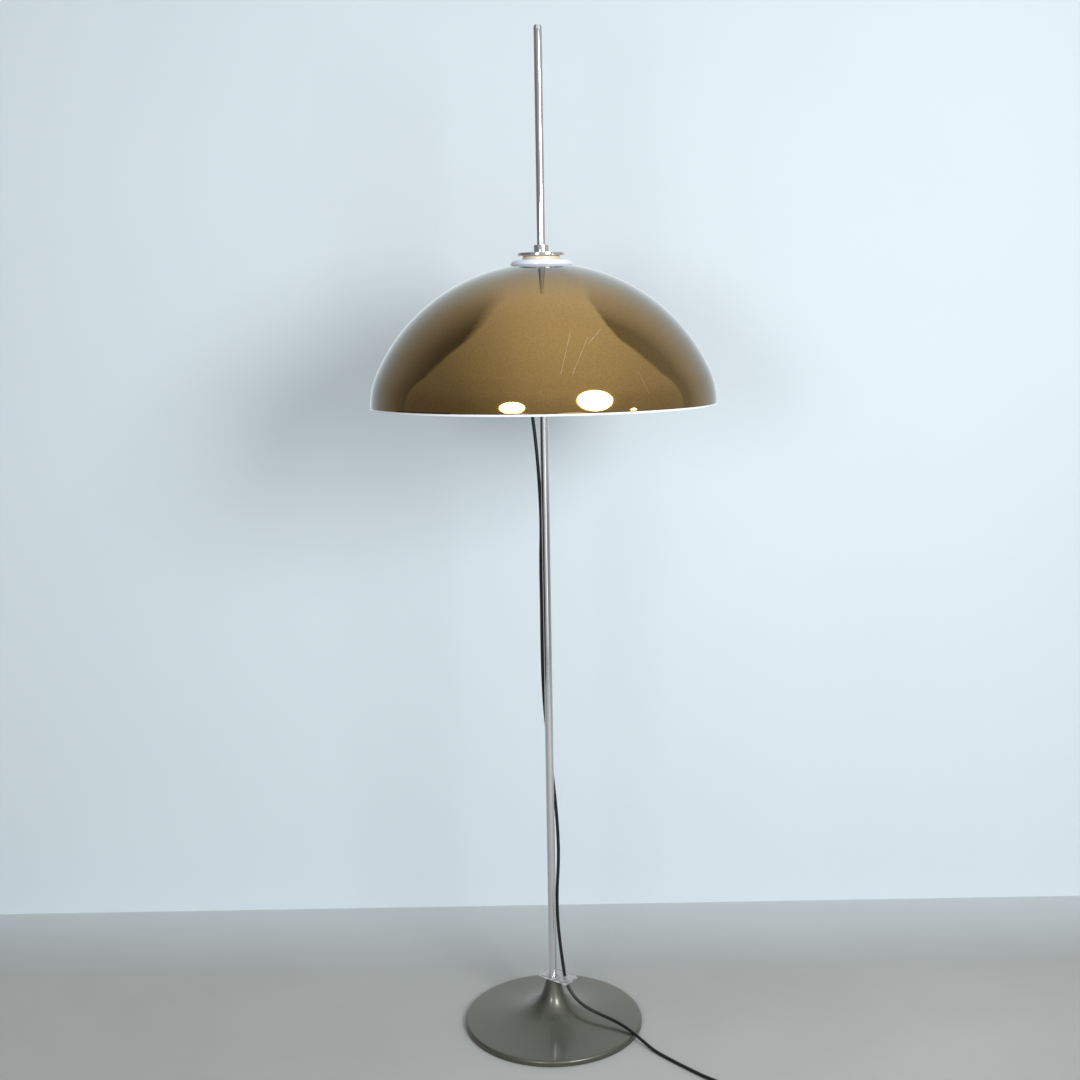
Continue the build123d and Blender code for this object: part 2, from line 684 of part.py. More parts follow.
def switch_end(side):
    """Where the cord meets the switch's bush, and the direction along the switch."""
    along = Vector(cos(radians(SWITCH_HEADING)), sin(radians(SWITCH_HEADING)), 0)
    middle = Vector(*SWITCH_AT, SWITCH_CORD_Z)
    return middle + along * (side * (SWITCH_L / 2 + BUSH_L)), along


def coil_state(turn_angle):
    """Point and direction on the coil: in along the floor, up a layer, and out again."""
    total = 2 * pi * COIL_TURNS
    rate = COIL_PITCH / (2 * pi)
    back = total / 2
    radius = COIL_OUT_R - rate * min(turn_angle, total - turn_angle)
    rise = max(0.0, min(1.0, (turn_angle - back + pi / 2) / pi))
    swing = radians(COIL_START) - turn_angle
    point = Vector(
        COIL_CENTRE[0] + radius * cos(swing), COIL_CENTRE[1] + radius * sin(swing),
        FLOOR_CORD_Z + COIL_PITCH * rise,
    )
    inward = 0.0 if abs(turn_angle - back) < 1e-6 else (-rate if turn_angle < back else rate)
    offset = abs(turn_angle - back)
    climb = COIL_PITCH / pi
    lift = climb if offset < pi / 2 - 1e-6 else (climb / 2 if offset < pi / 2 + 1e-6 else 0.0)
    direction = Vector(
        inward * cos(swing) + radius * sin(swing), inward * sin(swing) - radius * cos(swing), lift
    )
    return point, direction.normalized()


def biarc(start, start_dir, end, end_dir):
    """Two arcs that leave and arrive in the given directions."""
    chord = end - start
    both = start_dir + end_dir
    a = 2 * (1 - start_dir.dot(end_dir))
    b = 2 * chord.dot(both)
    c = -chord.dot(chord)
    reach = -c / b if abs(a) < 1e-9 else (-b + sqrt(b * b - 4 * a * c)) / (2 * a)
    first, second = start + start_dir * reach, end - end_dir * reach
    middle = (first + second) * 0.5
    return [
        TangentArc(start, middle, tangent=start_dir),
        TangentArc(middle, end, tangent=second - first),
    ]


def coil_gap(samples_per_turn=48):
    """Least free space between the cord and its own neighbouring turns."""
    count = int(COIL_TURNS * samples_per_turn)
    spots = [coil_state(2 * pi * COIL_TURNS * i / count)[0] for i in range(count + 1)]
    least = min(
        (spots[i] - spots[j]).length
        for i in range(count + 1)
        for j in range(i + samples_per_turn // 3, count + 1)
    )
    return least - 2 * CORD_R


def coil_ends():
    """The coil's two ends with their straight lead-in and lead-out of one cord diameter."""
    first, first_dir = coil_state(0.0)
    last, last_dir = coil_state(2 * pi * COIL_TURNS)
    return first - first_dir * (2 * CORD_R), last + last_dir * (2 * CORD_R), first_dir, last_dir


def cord_coil():
    steps = int(round(COIL_TURNS * 4))
    states = [coil_state(2 * pi * COIL_TURNS * i / steps) for i in range(steps + 1)]
    start, finish, _, _ = coil_ends()
    edges = [Line(start, states[0][0])]
    for (here, here_dir), (there, there_dir) in zip(states, states[1:]):
        edges += biarc(here, here_dir, there, there_dir)
    edges.append(Line(states[-1][0], finish))
    path = Wire(edges)
    section = Plane(start, z_dir=states[0][1]) * Circle(CORD_R)
    body = sweep(section, path)
    ratio = body.volume / (pi * CORD_R**2 * path.length)
    print(f"cord coil: {path.length:.1f} mm, least gap {coil_gap():.2f} mm, volume ratio {ratio:.4f}")
    return body


def cord_drop():
    return tube(DROP_ROUTE, CORD_R, "cord drop")


def cord_run():
    end, along = switch_end(-1)
    return tube(RUN_ROUTE + [end - along * 16, end], CORD_R, "cord run")


def cord_lead():
    """From the switch to the coil."""
    start, along = switch_end(1)
    finish, _, direction, _ = coil_ends()
    points = [start, start + along * 15, finish - direction * 15, finish]
    return tube(points, CORD_R, "cord lead")


def plug_entry():
    """Point where the cord enters the plug's tapered end."""
    _, finish, _, direction = coil_ends()
    entry = finish + direction * TAIL_L
    return Vector(entry.X, entry.Y, PLUG_T / 2)


def cord_tail():
    """From the coil down to the plug."""
    _, finish, _, direction = coil_ends()
    end = plug_entry()
    run = TAIL_L / 3
    points = [finish, finish + direction * run, end - direction * run, end]
    return tube(points, CORD_R, "cord tail")


# ---- cord gland in the lamp cup ----
def cord_gland():
    """Nylon gland: a flanged head with a tapered, ringed strain relief under it."""
    at = Pos(*GLAND_AT, 0)
    body = ring(GLAND_Z, CUP_Z, 0, GLAND_R)
    body = fillet(body.edges().group_by(Axis.Z)[0], GLAND_ROUND)
    body += ring(CUP_Z, GLAND_TOP_Z, 0, GLAND_THREAD_R)
    wide, slim = RELIEF_R
    body += spin(Polyline((0, GLAND_Z), (wide, GLAND_Z), (slim, CORD_EXIT_Z), (0, CORD_EXIT_Z), close=True))
    body -= ring(CUP_Z, CUP_TOP_Z, 0, CORD_R)
    return at * body


def gland_nut():
    low = CUP_Z + CUP_WALL
    return Pos(*GLAND_AT, 0) * ring(low, low + GLAND_NUT_H, GLAND_THREAD_R + NEST / 4, GLAND_NUT_R)


# ---- foot switch ----
def switch_blank(low, height, shrink=0.0):
    """Rounded body of the switch, made along +X."""
    outline = SlotOverall(SWITCH_L - 2 * shrink, SWITCH_W - 2 * shrink)
    return extrude(Pos(0, 0, low) * outline, height)


def switch_place(part):
    return lay(part, (*SWITCH_AT, 0), SWITCH_HEADING)


def screw_spots():
    x, y = SWITCH_SCREW_AT
    return [Pos(side * x, side * y, 0) for side in (-1, 1)]


def cord_channel():
    """Bores for the bushes at both ends and for the wires between them."""
    reach = SWITCH_L / 2
    bush = BUSH_R[0] + NEST / 4
    channel = ring(-reach - 1, BUSH_GRIP - reach, 0, bush) + ring(reach - BUSH_GRIP, reach + 1, 0, bush)
    channel += ring(-reach, reach, 0, LEAD_R + SLIP)
    return Pos(0, 0, SWITCH_CORD_Z) * along_x(channel)


def button_low_z():
    return BUTTON_Z - SWITCH_WALL - SLIP - BUTTON_FLANGE_T


def switch_base():
    base = switch_blank(0, SWITCH_BASE_H)
    base = fillet(base.edges().group_by(Axis.Z)[0], SWITCH_FOOT_EDGE)
    base -= ring(SWITCH_WALL, SWITCH_BASE_H + 1, 0, BUTTON_R + BUTTON_FLANGE + SLIP)
    base -= cord_channel()
    for spot in screw_spots():
        base -= spot * ring(-1, SWITCH_BASE_H + 1, 0, SWITCH_SCREW_R + NEST)
        base -= spot * ring(-1, SCREW_SINK + SCREW_HEAD_H, 0, SWITCH_SCREW_HEAD_R + NEST)
    return switch_place(base)


def switch_cover():
    cover = switch_blank(SWITCH_BASE_H, SWITCH_COVER_H)
    cover = fillet(cover.edges().group_by(Axis.Z)[-1], SWITCH_EDGE)
    cover -= ring(SWITCH_BASE_H - 1, BUTTON_Z - SWITCH_WALL, 0, BUTTON_R + BUTTON_FLANGE + SLIP)
    cover -= ring(SWITCH_BASE_H, BUTTON_Z + 1, 0, BUTTON_R + SLIP)
    cover -= cord_channel()
    for spot in screw_spots():
        cover -= spot * ring(SWITCH_BASE_H - 1, SWITCH_BASE_H + SCREW_BITE + 1, 0, SWITCH_SCREW_R)
    return switch_place(cover)


def switch_screws():
    screws = []
    for spot in screw_spots():
        neck = SCREW_SINK + SCREW_HEAD_H
        screw = ring(neck, SWITCH_BASE_H + SCREW_BITE, 0, SWITCH_SCREW_R)
        screw += ring(SCREW_SINK, neck, 0, SWITCH_SCREW_HEAD_R)
        slot = Box(2 * SWITCH_SCREW_HEAD_R + 1, SCREW_SLOT_W, SCREW_HEAD_H)
        screw -= Pos(0, 0, SCREW_SINK) * slot
        screws.append(switch_place(spot * screw))
    return screws


def switch_bushes():
    """Tapered sleeves where the cord enters and leaves the switch."""
    wide, slim = BUSH_R
    bushes = []
    for side in (-1, 1):
        face = SWITCH_L / 2
        outline = Polyline(
            (0, face - BUSH_GRIP), (wide, face - BUSH_GRIP), (wide, face), (slim, face + BUSH_L),
            (0, face + BUSH_L), close=True,
        )
        bush = Pos(0, 0, SWITCH_CORD_Z) * Rot(0, 90 * side, 0) * spin(outline)
        bushes.append(switch_place(bush))
    return bushes


def switch_contacts():
    """Contact block under the button and a terminal tab at each side of it."""
    block = ring(SWITCH_WALL, button_low_z() - BUTTON_TRAVEL - NEST, 0, CONTACT_R)
    pieces = [switch_place(block)]
    for side in (-1, 1):
        tab = Box(*TAB_SIZE, align=(Align.CENTER, Align.CENTER, Align.MIN))
        pieces.append(switch_place(Pos(side * (TAB_AT + TAB_SIZE[0] / 2), 0, SWITCH_WALL) * tab))
    return pieces


def switch_leads():
    """Wires from the bushes to the terminal tabs."""
    near, far = TAB_AT + TAB_SIZE[0], SWITCH_L / 2 - BUSH_GRIP
    wires = []
    for side in (0, 180):
        wire = Pos(0, 0, SWITCH_CORD_Z) * Rot(0, 0, side) * along_x(ring(near, far, 0, LEAD_R))
        wires.append(switch_place(wire))
    return wires


def switch_button():
    low = button_low_z()
    top = BUTTON_Z + BUTTON_RISE
    button = ring(low, low + BUTTON_FLANGE_T, 0, BUTTON_R + BUTTON_FLANGE)
    cap = ring(low, top, 0, BUTTON_R)
    cap = fillet(cap.edges().group_by(Axis.Z)[-1], BUTTON_CROWN)
    return switch_place(button + cap)


def switch_spring():
    """Compression spring that lifts the button."""
    low = SWITCH_WALL + SPRING_WIRE_R
    high = button_low_z() - SPRING_WIRE_R
    path = Helix(pitch=(high - low) / SPRING_TURNS, height=high - low, radius=SPRING_R)
    wire = sweep(Plane(path @ 0, z_dir=path % 0) * Circle(SPRING_WIRE_R), path, is_frenet=True)
    return switch_place(Pos(0, 0, low) * wire)


# ---- plug ----
def plug_lay(part):
    _, _, _, direction = coil_ends()
    return lay(part, plug_entry(), degrees(atan2(direction.Y, direction.X)))


def plug_body():
    """Flat two-pin plug that narrows towards its cord."""
    start = PLUG_TAPER_L - PLUG_OVER_TAPER
    shoulder = PLUG_TAPER_L + PLUG_L / 3
    face = PLUG_TAPER_L + PLUG_L
    wide, slim = PLUG_TAPER_R
    outline = Polyline(
        (start, -wide), (shoulder, -PLUG_W / 2), (face, -PLUG_W / 2),
        (face, PLUG_W / 2), (shoulder, PLUG_W / 2), (start, wide), close=True,
    )
    body = extrude(Pos(0, 0, -PLUG_T / 2) * make_face(outline), PLUG_T)
    body = fillet(body.edges().filter_by(Axis.X), PLUG_EDGE)
    taper = along_x(spin(Polyline((0, 0), (slim, 0), (wide, PLUG_TAPER_L), (0, PLUG_TAPER_L), close=True)))
    return plug_lay(body + taper)


def plug_pins():
    face = PLUG_TAPER_L + PLUG_L
    pins = []
    for side in (-1, 1):
        pin = along_x(ring(face, face + PIN_L, 0, PIN_R))
        pin = fillet(pin.faces().sort_by(Axis.X)[-1].edges(), PIN_R * 0.6)
        pins.append(plug_lay(Pos(0, side * PIN_SPREAD / 2, 0) * pin))
    return pins


# ---- the whole lamp ----
def all_parts():
    parts = {
        "foot_shell": foot_shell(),
        "foot_ballast": foot_ballast(),
        "foot_pad": foot_pad(),
        "foot_washer": foot_washer(),
        "foot_nut": foot_nut(),
        "pole": pole(),
        "pole_cap": pole_cap(),
        "pole_stud": pole_stud(),
        "cord_guide": cord_guide(),
        "shade_outer": shade_outer(),
        "shade_liner": shade_liner(),
        "stem": stem(),
        "top_ring": top_ring(),
        "collar_nut": collar_nut(),
        "shade_gasket": shade_gasket(),
        "press_plate": press_plate(),
        "lock_nuts": lock_nuts(),
        "clamp_knob": clamp_knob(),
        "collet": collet(),
        "lamp_cup": lamp_cup(),
        "cup_lid": cup_lid(),
        "nipple_nuts": [radial(along_x(nipple_nut()), i) for i in range(LAMPS)],
        "terminal_block": terminal_block(),
        "inner_leads": inner_leads(),
        "cord_gland": cord_gland(),
        "gland_nut": gland_nut(),
        "cord_drop": cord_drop(),
        "cord_run": cord_run(),
        "cord_lead": cord_lead(),
        "cord_coil": cord_coil(),
        "cord_tail": cord_tail(),
        "switch_base": switch_base(),
        "switch_cover": switch_cover(),
        "switch_screws": switch_screws(),
        "switch_bushes": switch_bushes(),
        "switch_contacts": switch_contacts(),
        "switch_leads": switch_leads(),
        "switch_button": switch_button(),
        "switch_spring": switch_spring(),
        "plug_body": plug_body(),
        "plug_pins": plug_pins(),
    }
    for i in range(LAMPS):
        parts[f"lamp_nipple_{i + 1}"] = radial(along_x(lamp_nipple()), i)
        parts[f"lampholder_{i + 1}"] = radial(along_x(lampholder()), i)
        parts[f"socket_insert_{i + 1}"] = radial(along_x(socket_insert()), i)
        parts[f"bulb_base_{i + 1}"] = radial(along_x(bulb_base()), i)
        parts[f"bulb_glass_{i + 1}"] = radial(along_x(bulb_glass()), i)
    return parts


def main():
    os.makedirs("parts", exist_ok=True)
    for name, shape in all_parts().items():
        if isinstance(shape, list):
            shape = Compound(children=[s if isinstance(s, Solid) else s.solid() for s in shape])
        export_step(shape, f"parts/{name}.step")


main()
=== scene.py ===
# %% [markdown]
# # A floor lamp with a sliding domed shade
# This lesson dresses a finished CAD model of a floor lamp. The CAD model is loaded first as a
# fixed frame; every piece made here lies in that frame, in metres, and most are attached to the
# body they move with. The frame's bodies are the stand, the head that slides on it, the clamp on
# the head and the foot switch's button.

# %% Load the frame
import json
from math import atan2, cos, degrees, pi, radians, sin, sqrt

import bpy
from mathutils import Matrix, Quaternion, Vector


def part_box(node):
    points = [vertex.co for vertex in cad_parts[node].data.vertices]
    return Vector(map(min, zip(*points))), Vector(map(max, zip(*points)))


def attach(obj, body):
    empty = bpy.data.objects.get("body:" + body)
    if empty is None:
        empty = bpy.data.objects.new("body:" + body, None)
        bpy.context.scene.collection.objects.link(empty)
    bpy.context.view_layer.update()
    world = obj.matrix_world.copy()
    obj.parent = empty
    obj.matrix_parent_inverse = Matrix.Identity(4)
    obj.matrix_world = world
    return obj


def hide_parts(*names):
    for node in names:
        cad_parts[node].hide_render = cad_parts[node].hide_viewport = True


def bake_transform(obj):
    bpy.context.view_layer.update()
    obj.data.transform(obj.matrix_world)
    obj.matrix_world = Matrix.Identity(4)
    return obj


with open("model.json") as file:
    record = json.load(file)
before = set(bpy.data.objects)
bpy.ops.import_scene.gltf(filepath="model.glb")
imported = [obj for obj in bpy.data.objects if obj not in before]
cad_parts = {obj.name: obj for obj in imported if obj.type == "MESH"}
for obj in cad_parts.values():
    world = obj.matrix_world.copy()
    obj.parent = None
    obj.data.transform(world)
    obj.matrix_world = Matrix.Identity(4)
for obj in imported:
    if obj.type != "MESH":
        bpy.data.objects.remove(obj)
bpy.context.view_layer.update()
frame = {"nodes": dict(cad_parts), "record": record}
NODES = frame["nodes"]
print("CAD nodes:", len(NODES))

# %% [markdown]
# ## Camera
# The photograph was taken from a little over the height of the shade's rim, about two metres
# away and pointing a little down. The lens is written as a focal length on the usual 36 mm sensor.
# The camera is also rolled by under a degree, which is why the pole leans in the picture. The
# three turns are multiplied as quaternions, so that each can be changed by itself.

# %% Camera
LENS_MM, SENSOR_MM = 45.0, 36.0
CAMERA_AT = (0.0036, -1.9653, 1.0655)
CAMERA_PITCH, CAMERA_ROLL, CAMERA_TURN = 81.12, -0.97, 0.36

lens = bpy.data.cameras.new("photo_camera")
lens.lens, lens.sensor_width = LENS_MM, SENSOR_MM
camera = bpy.data.objects.new("photo_camera", lens)
bpy.context.scene.collection.objects.link(camera)
camera.location = CAMERA_AT
camera.rotation_mode = "QUATERNION"
camera.rotation_quaternion = (
    Quaternion((0, 0, 1), radians(CAMERA_TURN))
    @ Quaternion((1, 0, 0), radians(CAMERA_PITCH))
    @ Quaternion((0, 0, 1), radians(CAMERA_ROLL))
)
bpy.context.scene.camera = camera
print("camera at", CAMERA_AT)

# %% [markdown]
# ## Spring in the foot switch
# The foot switch on the cord holds a small compression spring under its button. A stiff spring
# would pierce the button as it goes down. The spring is made from a circle of wire that is
# screwed upwards.

# %% Spring under the switch's button
WIRE_R, SPRING_R, SPRING_TURNS = 0.0005, 0.0060, 4
WIRE_SIDES, STEPS_A_TURN = 10, 24
WELD = 1e-6               # vertices closer than this are merged
SWITCH_MIDDLE = (0.262, -0.262)
spring_low, spring_high = (corner[2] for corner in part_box("switch_spring"))

bpy.ops.object.select_all(action="DESELECT")
bpy.ops.mesh.primitive_circle_add(
    vertices=WIRE_SIDES, radius=WIRE_R,
    location=(SPRING_R, 0, spring_low + WIRE_R), rotation=(pi / 2, 0, 0),
)
spring = bpy.context.object
spring.name = spring.data.name = "button_spring"
bpy.ops.object.transform_apply(location=True, rotation=True, scale=True)
screw = spring.modifiers.new("turns", "SCREW")
screw.angle, screw.iterations = 2 * pi, SPRING_TURNS
screw.steps = screw.render_steps = STEPS_A_TURN
screw.screw_offset = (spring_high - spring_low - 2 * WIRE_R) / SPRING_TURNS
bpy.ops.object.modifier_apply(modifier=screw.name)

bpy.ops.object.mode_set(mode="EDIT")
bpy.ops.mesh.select_all(action="SELECT")
bpy.ops.mesh.remove_doubles(threshold=WELD)
bpy.ops.mesh.fill_holes(sides=0)
bpy.ops.mesh.select_all(action="SELECT")
bpy.ops.mesh.normals_make_consistent(inside=False)
bpy.ops.transform.translate(value=(*SWITCH_MIDDLE, 0))
bpy.ops.object.mode_set(mode="OBJECT")
bpy.ops.object.shade_smooth_by_angle(angle=radians(60))
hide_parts("switch_spring")
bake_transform(spring)
print("spring height", round(spring_high - spring_low, 4), "m")

# %% [markdown]
# ## Cords
# A supply cord is a fixed length of something flexible. It could be dropped by a simulation, but
# the photograph shows its bends, so it is drawn as one smooth NURBS line whose control points
# are listed one by one. The tube is made from that line by a bevel and turned into a mesh.

# %% Cord helpers
CORD_R = 0.0025
POINTS_A_SPAN, TUBE_STEPS = 12, 5      # fineness along the line and round the tube


def nurbs_line(name, points):
    """Smooth line with the given control points, in metres."""
    curve = bpy.data.curves.new(name, "CURVE")
    curve.dimensions = "3D"
    curve.resolution_u = POINTS_A_SPAN
    curve.bevel_resolution = TUBE_STEPS
    curve.use_fill_caps = True
    spline = curve.splines.new("NURBS")
    spline.points.add(len(points) - 1)
    for spot, place in zip(spline.points, points):
        spot.co = (*place, 1.0)
    spline.order_u = 3
    spline.use_endpoint_u = True
    line = bpy.data.objects.new(name, curve)
    bpy.context.scene.collection.objects.link(line)
    return line


def mesh_of(curve_object):
    """Mesh of a curve as it is set now."""
    bpy.context.view_layer.update()
    depsgraph = bpy.context.evaluated_depsgraph_get()
    return bpy.data.meshes.new_from_object(curve_object.evaluated_get(depsgraph))


def cord_tube(name, points):
    """Mesh tube on the line, the points that it follows and their length."""
    line = nurbs_line(name + "_line", points)
    centre = mesh_of(line)
    path = [tuple(vertex.co) for vertex in centre.vertices]
    line.data.bevel_depth = CORD_R
    mesh = mesh_of(line)
    for face in mesh.polygons:
        face.use_smooth = True
    tube = bpy.data.objects.new(name, mesh)
    bpy.context.scene.collection.objects.link(tube)
    bpy.data.objects.remove(line)
    bpy.data.meshes.remove(centre)
    length = sum((Vector(b) - Vector(a)).length for a, b in zip(path, path[1:]))
    print(name, "length", round(length, 4), "m,", len(path), "points")
    return tube, path, length


# %% [markdown]
# The cord leaves the gland under the shade, hangs beside and behind the pole, passes the clear
# guide, and runs over the foot and along the floor into the foot switch. It belongs to the head
# at its top and to the stand at its foot.

# %% Supply cord from the gland to the foot switch
SUPPLY_ROUTE = [
    (-0.0215, 0.002, 1.016), (-0.0215, 0.002, 0.974), (-0.0152, 0.0034, 0.930),
    (-0.0110, 0.0048, 0.884), (-0.0082, 0.0068, 0.838), (-0.0064, 0.0084, 0.782),
    (-0.0084, 0.0066, 0.724), (-0.0080, 0.0072, 0.662), (-0.0085, 0.0065, 0.590),
    (-0.0074, 0.0078, 0.520), (-0.0032, 0.0098, 0.462), (0.0024, 0.0102, 0.410),
    (0.0076, 0.0078, 0.358), (0.0108, 0.0046, 0.312), (0.0118, 0.0034, 0.264),
    (0.0078, 0.0072, 0.206), (0.0088, 0.0058, 0.158), (0.0126, 0.0022, 0.118),
    (0.0164, -0.0004, 0.088), (0.01868, -0.00196, 0.070), (0.0245, -0.0065, 0.0555),
    (0.0360, -0.0132, 0.0405), (0.0530, -0.0200, 0.0295), (0.0740, -0.0285, 0.0230),
    (0.0970, -0.0400, 0.0176), (0.1170, -0.0580, 0.0126), (0.1340, -0.0800, 0.0072),
    (0.1500, -0.1005, 0.0026), (0.1700, -0.1235, 0.0026), (0.1920, -0.1470, 0.0026),
    (0.2160, -0.1720, 0.0028), (0.2384, -0.19716, 0.0070), (0.24387, -0.2122, 0.0070),
]
supply_cord, supply_path, supply_length = cord_tube("supply_cord", SUPPLY_ROUTE)
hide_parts("cord_drop", "cord_run")
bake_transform(supply_cord)

# %% [markdown]
# The rest of the cord lies put away outside the picture: from the foot switch into a neat round
# coil of two layers, and out of it to the plug. The coil's control points follow a flat spiral
# that runs in on the floor, climbs one layer and runs out again.

# %% Coiled cord from the switch to the plug
COIL_MIDDLE = (0.2466, -0.3660)
COIL_TURNS, COIL_PITCH, COIL_MEAN_R = 6.5, 0.0055, 0.030
COIL_START = radians(-8.0)
COIL_STEPS = 16           # control points in each turn
FLOOR_CORD_Z = 0.0026


def coil_points():
    """Control points of the coil, a little outside its turns because the line cuts the corners."""
    total = 2 * pi * COIL_TURNS
    outside = COIL_MEAN_R + COIL_PITCH * COIL_TURNS / 4
    widened = 1 / cos(pi / COIL_STEPS)
    points = []
    for i in range(int(COIL_TURNS * COIL_STEPS) + 1):
        angle = 2 * pi * i / COIL_STEPS
        radius = outside - COIL_PITCH / (2 * pi) * min(angle, total - angle)
        climb = min(1.0, max(0.0, (angle - total / 2 + pi / 2) / pi))
        swing = COIL_START - angle
        points.append((
            COIL_MIDDLE[0] + widened * radius * cos(swing),
            COIL_MIDDLE[1] + widened * radius * sin(swing),
            FLOOR_CORD_Z + COIL_PITCH * climb,
        ))
    return points


LEAD_ROUTE = [(0.28013, -0.31180, 0.0070), (0.28526, -0.3259, 0.0070), (0.2864, -0.3500, 0.0026)]
TAIL_ROUTE = [(0.2099, -0.3457, 0.0081), (0.2117, -0.3316, 0.0068), (0.2138, -0.3140, 0.00675)]
plug_cord, plug_path, plug_length = cord_tube("plug_cord", LEAD_ROUTE + coil_points() + TAIL_ROUTE)
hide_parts("cord_lead", "cord_coil", "cord_tail")
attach(plug_cord, "stand")

# %% [markdown]
# ## Turning a profile
# Most pieces of this lamp are round: on the real lamp they are spun, turned or moulded. Each is
# made as one would on a lathe, from half of its cross-section: a single vertex is extruded along
# the outline and the outline is spun once round the pole's axis. A cylinder with loops cut into
# it would do too, but the outline keeps every wall and fit at a height that can be read off.


# %% Lathe helpers
def only(piece):
    """Select one piece and make it active."""
    bpy.ops.object.select_all(action="DESELECT")
    piece.select_set(True)
    bpy.context.view_layer.objects.active = piece


def turned(name, outline, steps=96):
    """Spin an outline of (radius, height) points round the pole's axis."""
    bpy.ops.object.select_all(action="DESELECT")
    bpy.ops.mesh.primitive_plane_add(size=0.01)
    piece = bpy.context.object
    piece.name = piece.data.name = name
    bpy.ops.object.mode_set(mode="EDIT")
    bpy.ops.mesh.merge(type="CENTER")          # leaves one vertex of the plane
    bpy.ops.transform.translate(value=(outline[0][0], 0, outline[0][1]))
    for (r0, z0), (r1, z1) in zip(outline, outline[1:]):
        bpy.ops.mesh.extrude_region_move(
            TRANSFORM_OT_translate={"value": (r1 - r0, 0, z1 - z0)}
        )
    bpy.ops.mesh.select_all(action="SELECT")
    bpy.ops.mesh.spin(steps=steps, angle=2 * pi, center=(0, 0, 0), axis=(0, 0, 1))
    bpy.ops.mesh.select_all(action="SELECT")
    bpy.ops.mesh.remove_doubles(threshold=WELD)
    bpy.ops.mesh.normals_make_consistent(inside=False)
    bpy.ops.object.mode_set(mode="OBJECT")
    bpy.ops.object.shade_smooth_by_angle(angle=radians(30))
    print(name, len(piece.data.polygons), "faces")
    return piece


def arc(centre, radius, start, stop, count=8):
    """Points on an arc of a profile, from one angle to another, in degrees."""
    points = []
    for i in range(count + 1):
        angle = radians(start + (stop - start) * i / count)
        points.append((centre[0] + radius * cos(angle), centre[1] + radius * sin(angle)))
    return points


# %% [markdown]
# ## Shade
# Two domes lie in each other: a transparent brown one outside and a white one inside it, whose
# edge shows as a thin white band under the brown one. Half a sphere would be too round: in
# cross-section each dome is a tight shoulder arc over the rim that runs on into a flatter crown
# arc, so the outline is worked out from the two radii. It has many points, because the surface
# is as glossy as a mirror and would show facets.

# %% Outline of the domes
SHADE_R, SHADE_BASE, SHADE_TOP, SHADE_RIM = 0.250, 0.9585, 1.1590, 0.9555
SHOULDER_R = 0.112
BROWN_T, LINER_T, SHELL_GAP = 0.003, 0.002, 0.0001
SHADE_HOLE = 0.012
SHOULDER_POINTS, CROWN_POINTS, DOME_STEPS = 24, 44, 192
SHADE_RISE = SHADE_TOP - SHADE_BASE
CROWN_R = (SHADE_R**2 - 2 * SHADE_R * SHOULDER_R + SHADE_RISE**2) / (2 * (SHADE_RISE - SHOULDER_R))
CROWN_MIDDLE = SHADE_TOP - CROWN_R
MEETING = degrees(atan2(SHADE_BASE - CROWN_MIDDLE, SHADE_R - SHOULDER_R))


def dome_line(offset):
    """Shoulder and crown arcs from the rim up to the hole in the middle, grown by offset."""
    crown = CROWN_R + offset
    hole = degrees(atan2(sqrt(crown**2 - SHADE_HOLE**2), SHADE_HOLE))
    shoulder_middle = (SHADE_R - SHOULDER_R, SHADE_BASE)
    points = arc(shoulder_middle, SHOULDER_R + offset, 0, MEETING, SHOULDER_POINTS)
    return points + arc((0, CROWN_MIDDLE), crown, MEETING, hole, CROWN_POINTS)[1:]


def dome_height(radius):
    """Height of the dome's outside at a distance from the pole."""
    return CROWN_MIDDLE + sqrt(CROWN_R**2 - radius**2)


def rim_round(inner, outer, z, radius):
    """Rounded lower edge between two radii, from outside to inside."""
    return (
        arc((outer - radius, z + radius), radius, 0, -90, 5)
        + arc((inner + radius, z + radius), radius, -90, -180, 5)
    )


print("crown radius", round(CROWN_R, 4), "m, arcs meet at", round(MEETING, 1), "degrees")

# %% Brown dome
BROWN_EDGE = 0.0005
brown_line = dome_line(0.0)[::-1][:-1]
brown_line += rim_round(SHADE_R - BROWN_T, SHADE_R, SHADE_BASE, BROWN_EDGE)
brown_line += dome_line(-BROWN_T)[1:]
brown_line.append(brown_line[0])
brown_dome = turned("brown_dome", brown_line, DOME_STEPS)
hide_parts("shade_outer")
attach(brown_dome, "head")

# %% White dome
WHITE_EDGE = 0.001
SKIN = BROWN_T + SHELL_GAP + LINER_T
white_line = dome_line(-BROWN_T - SHELL_GAP)[::-1][:-1]
white_line += [(SHADE_R - BROWN_T - SHELL_GAP, SHADE_BASE), (SHADE_R, SHADE_BASE)]
white_line += rim_round(SHADE_R - SKIN, SHADE_R, SHADE_RIM, WHITE_EDGE)
white_line += dome_line(-SKIN)
white_line.append(white_line[0])
white_dome = turned("white_dome", white_line, DOME_STEPS)
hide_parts("shade_liner")
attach(white_dome, "head")

# %% [markdown]
# ## Ring, collar and clamp
# On top of the dome sits a glossy white ring with a rounded edge. Its underside has to follow
# the dome, so the outline takes the dome's height at a few distances from the pole.

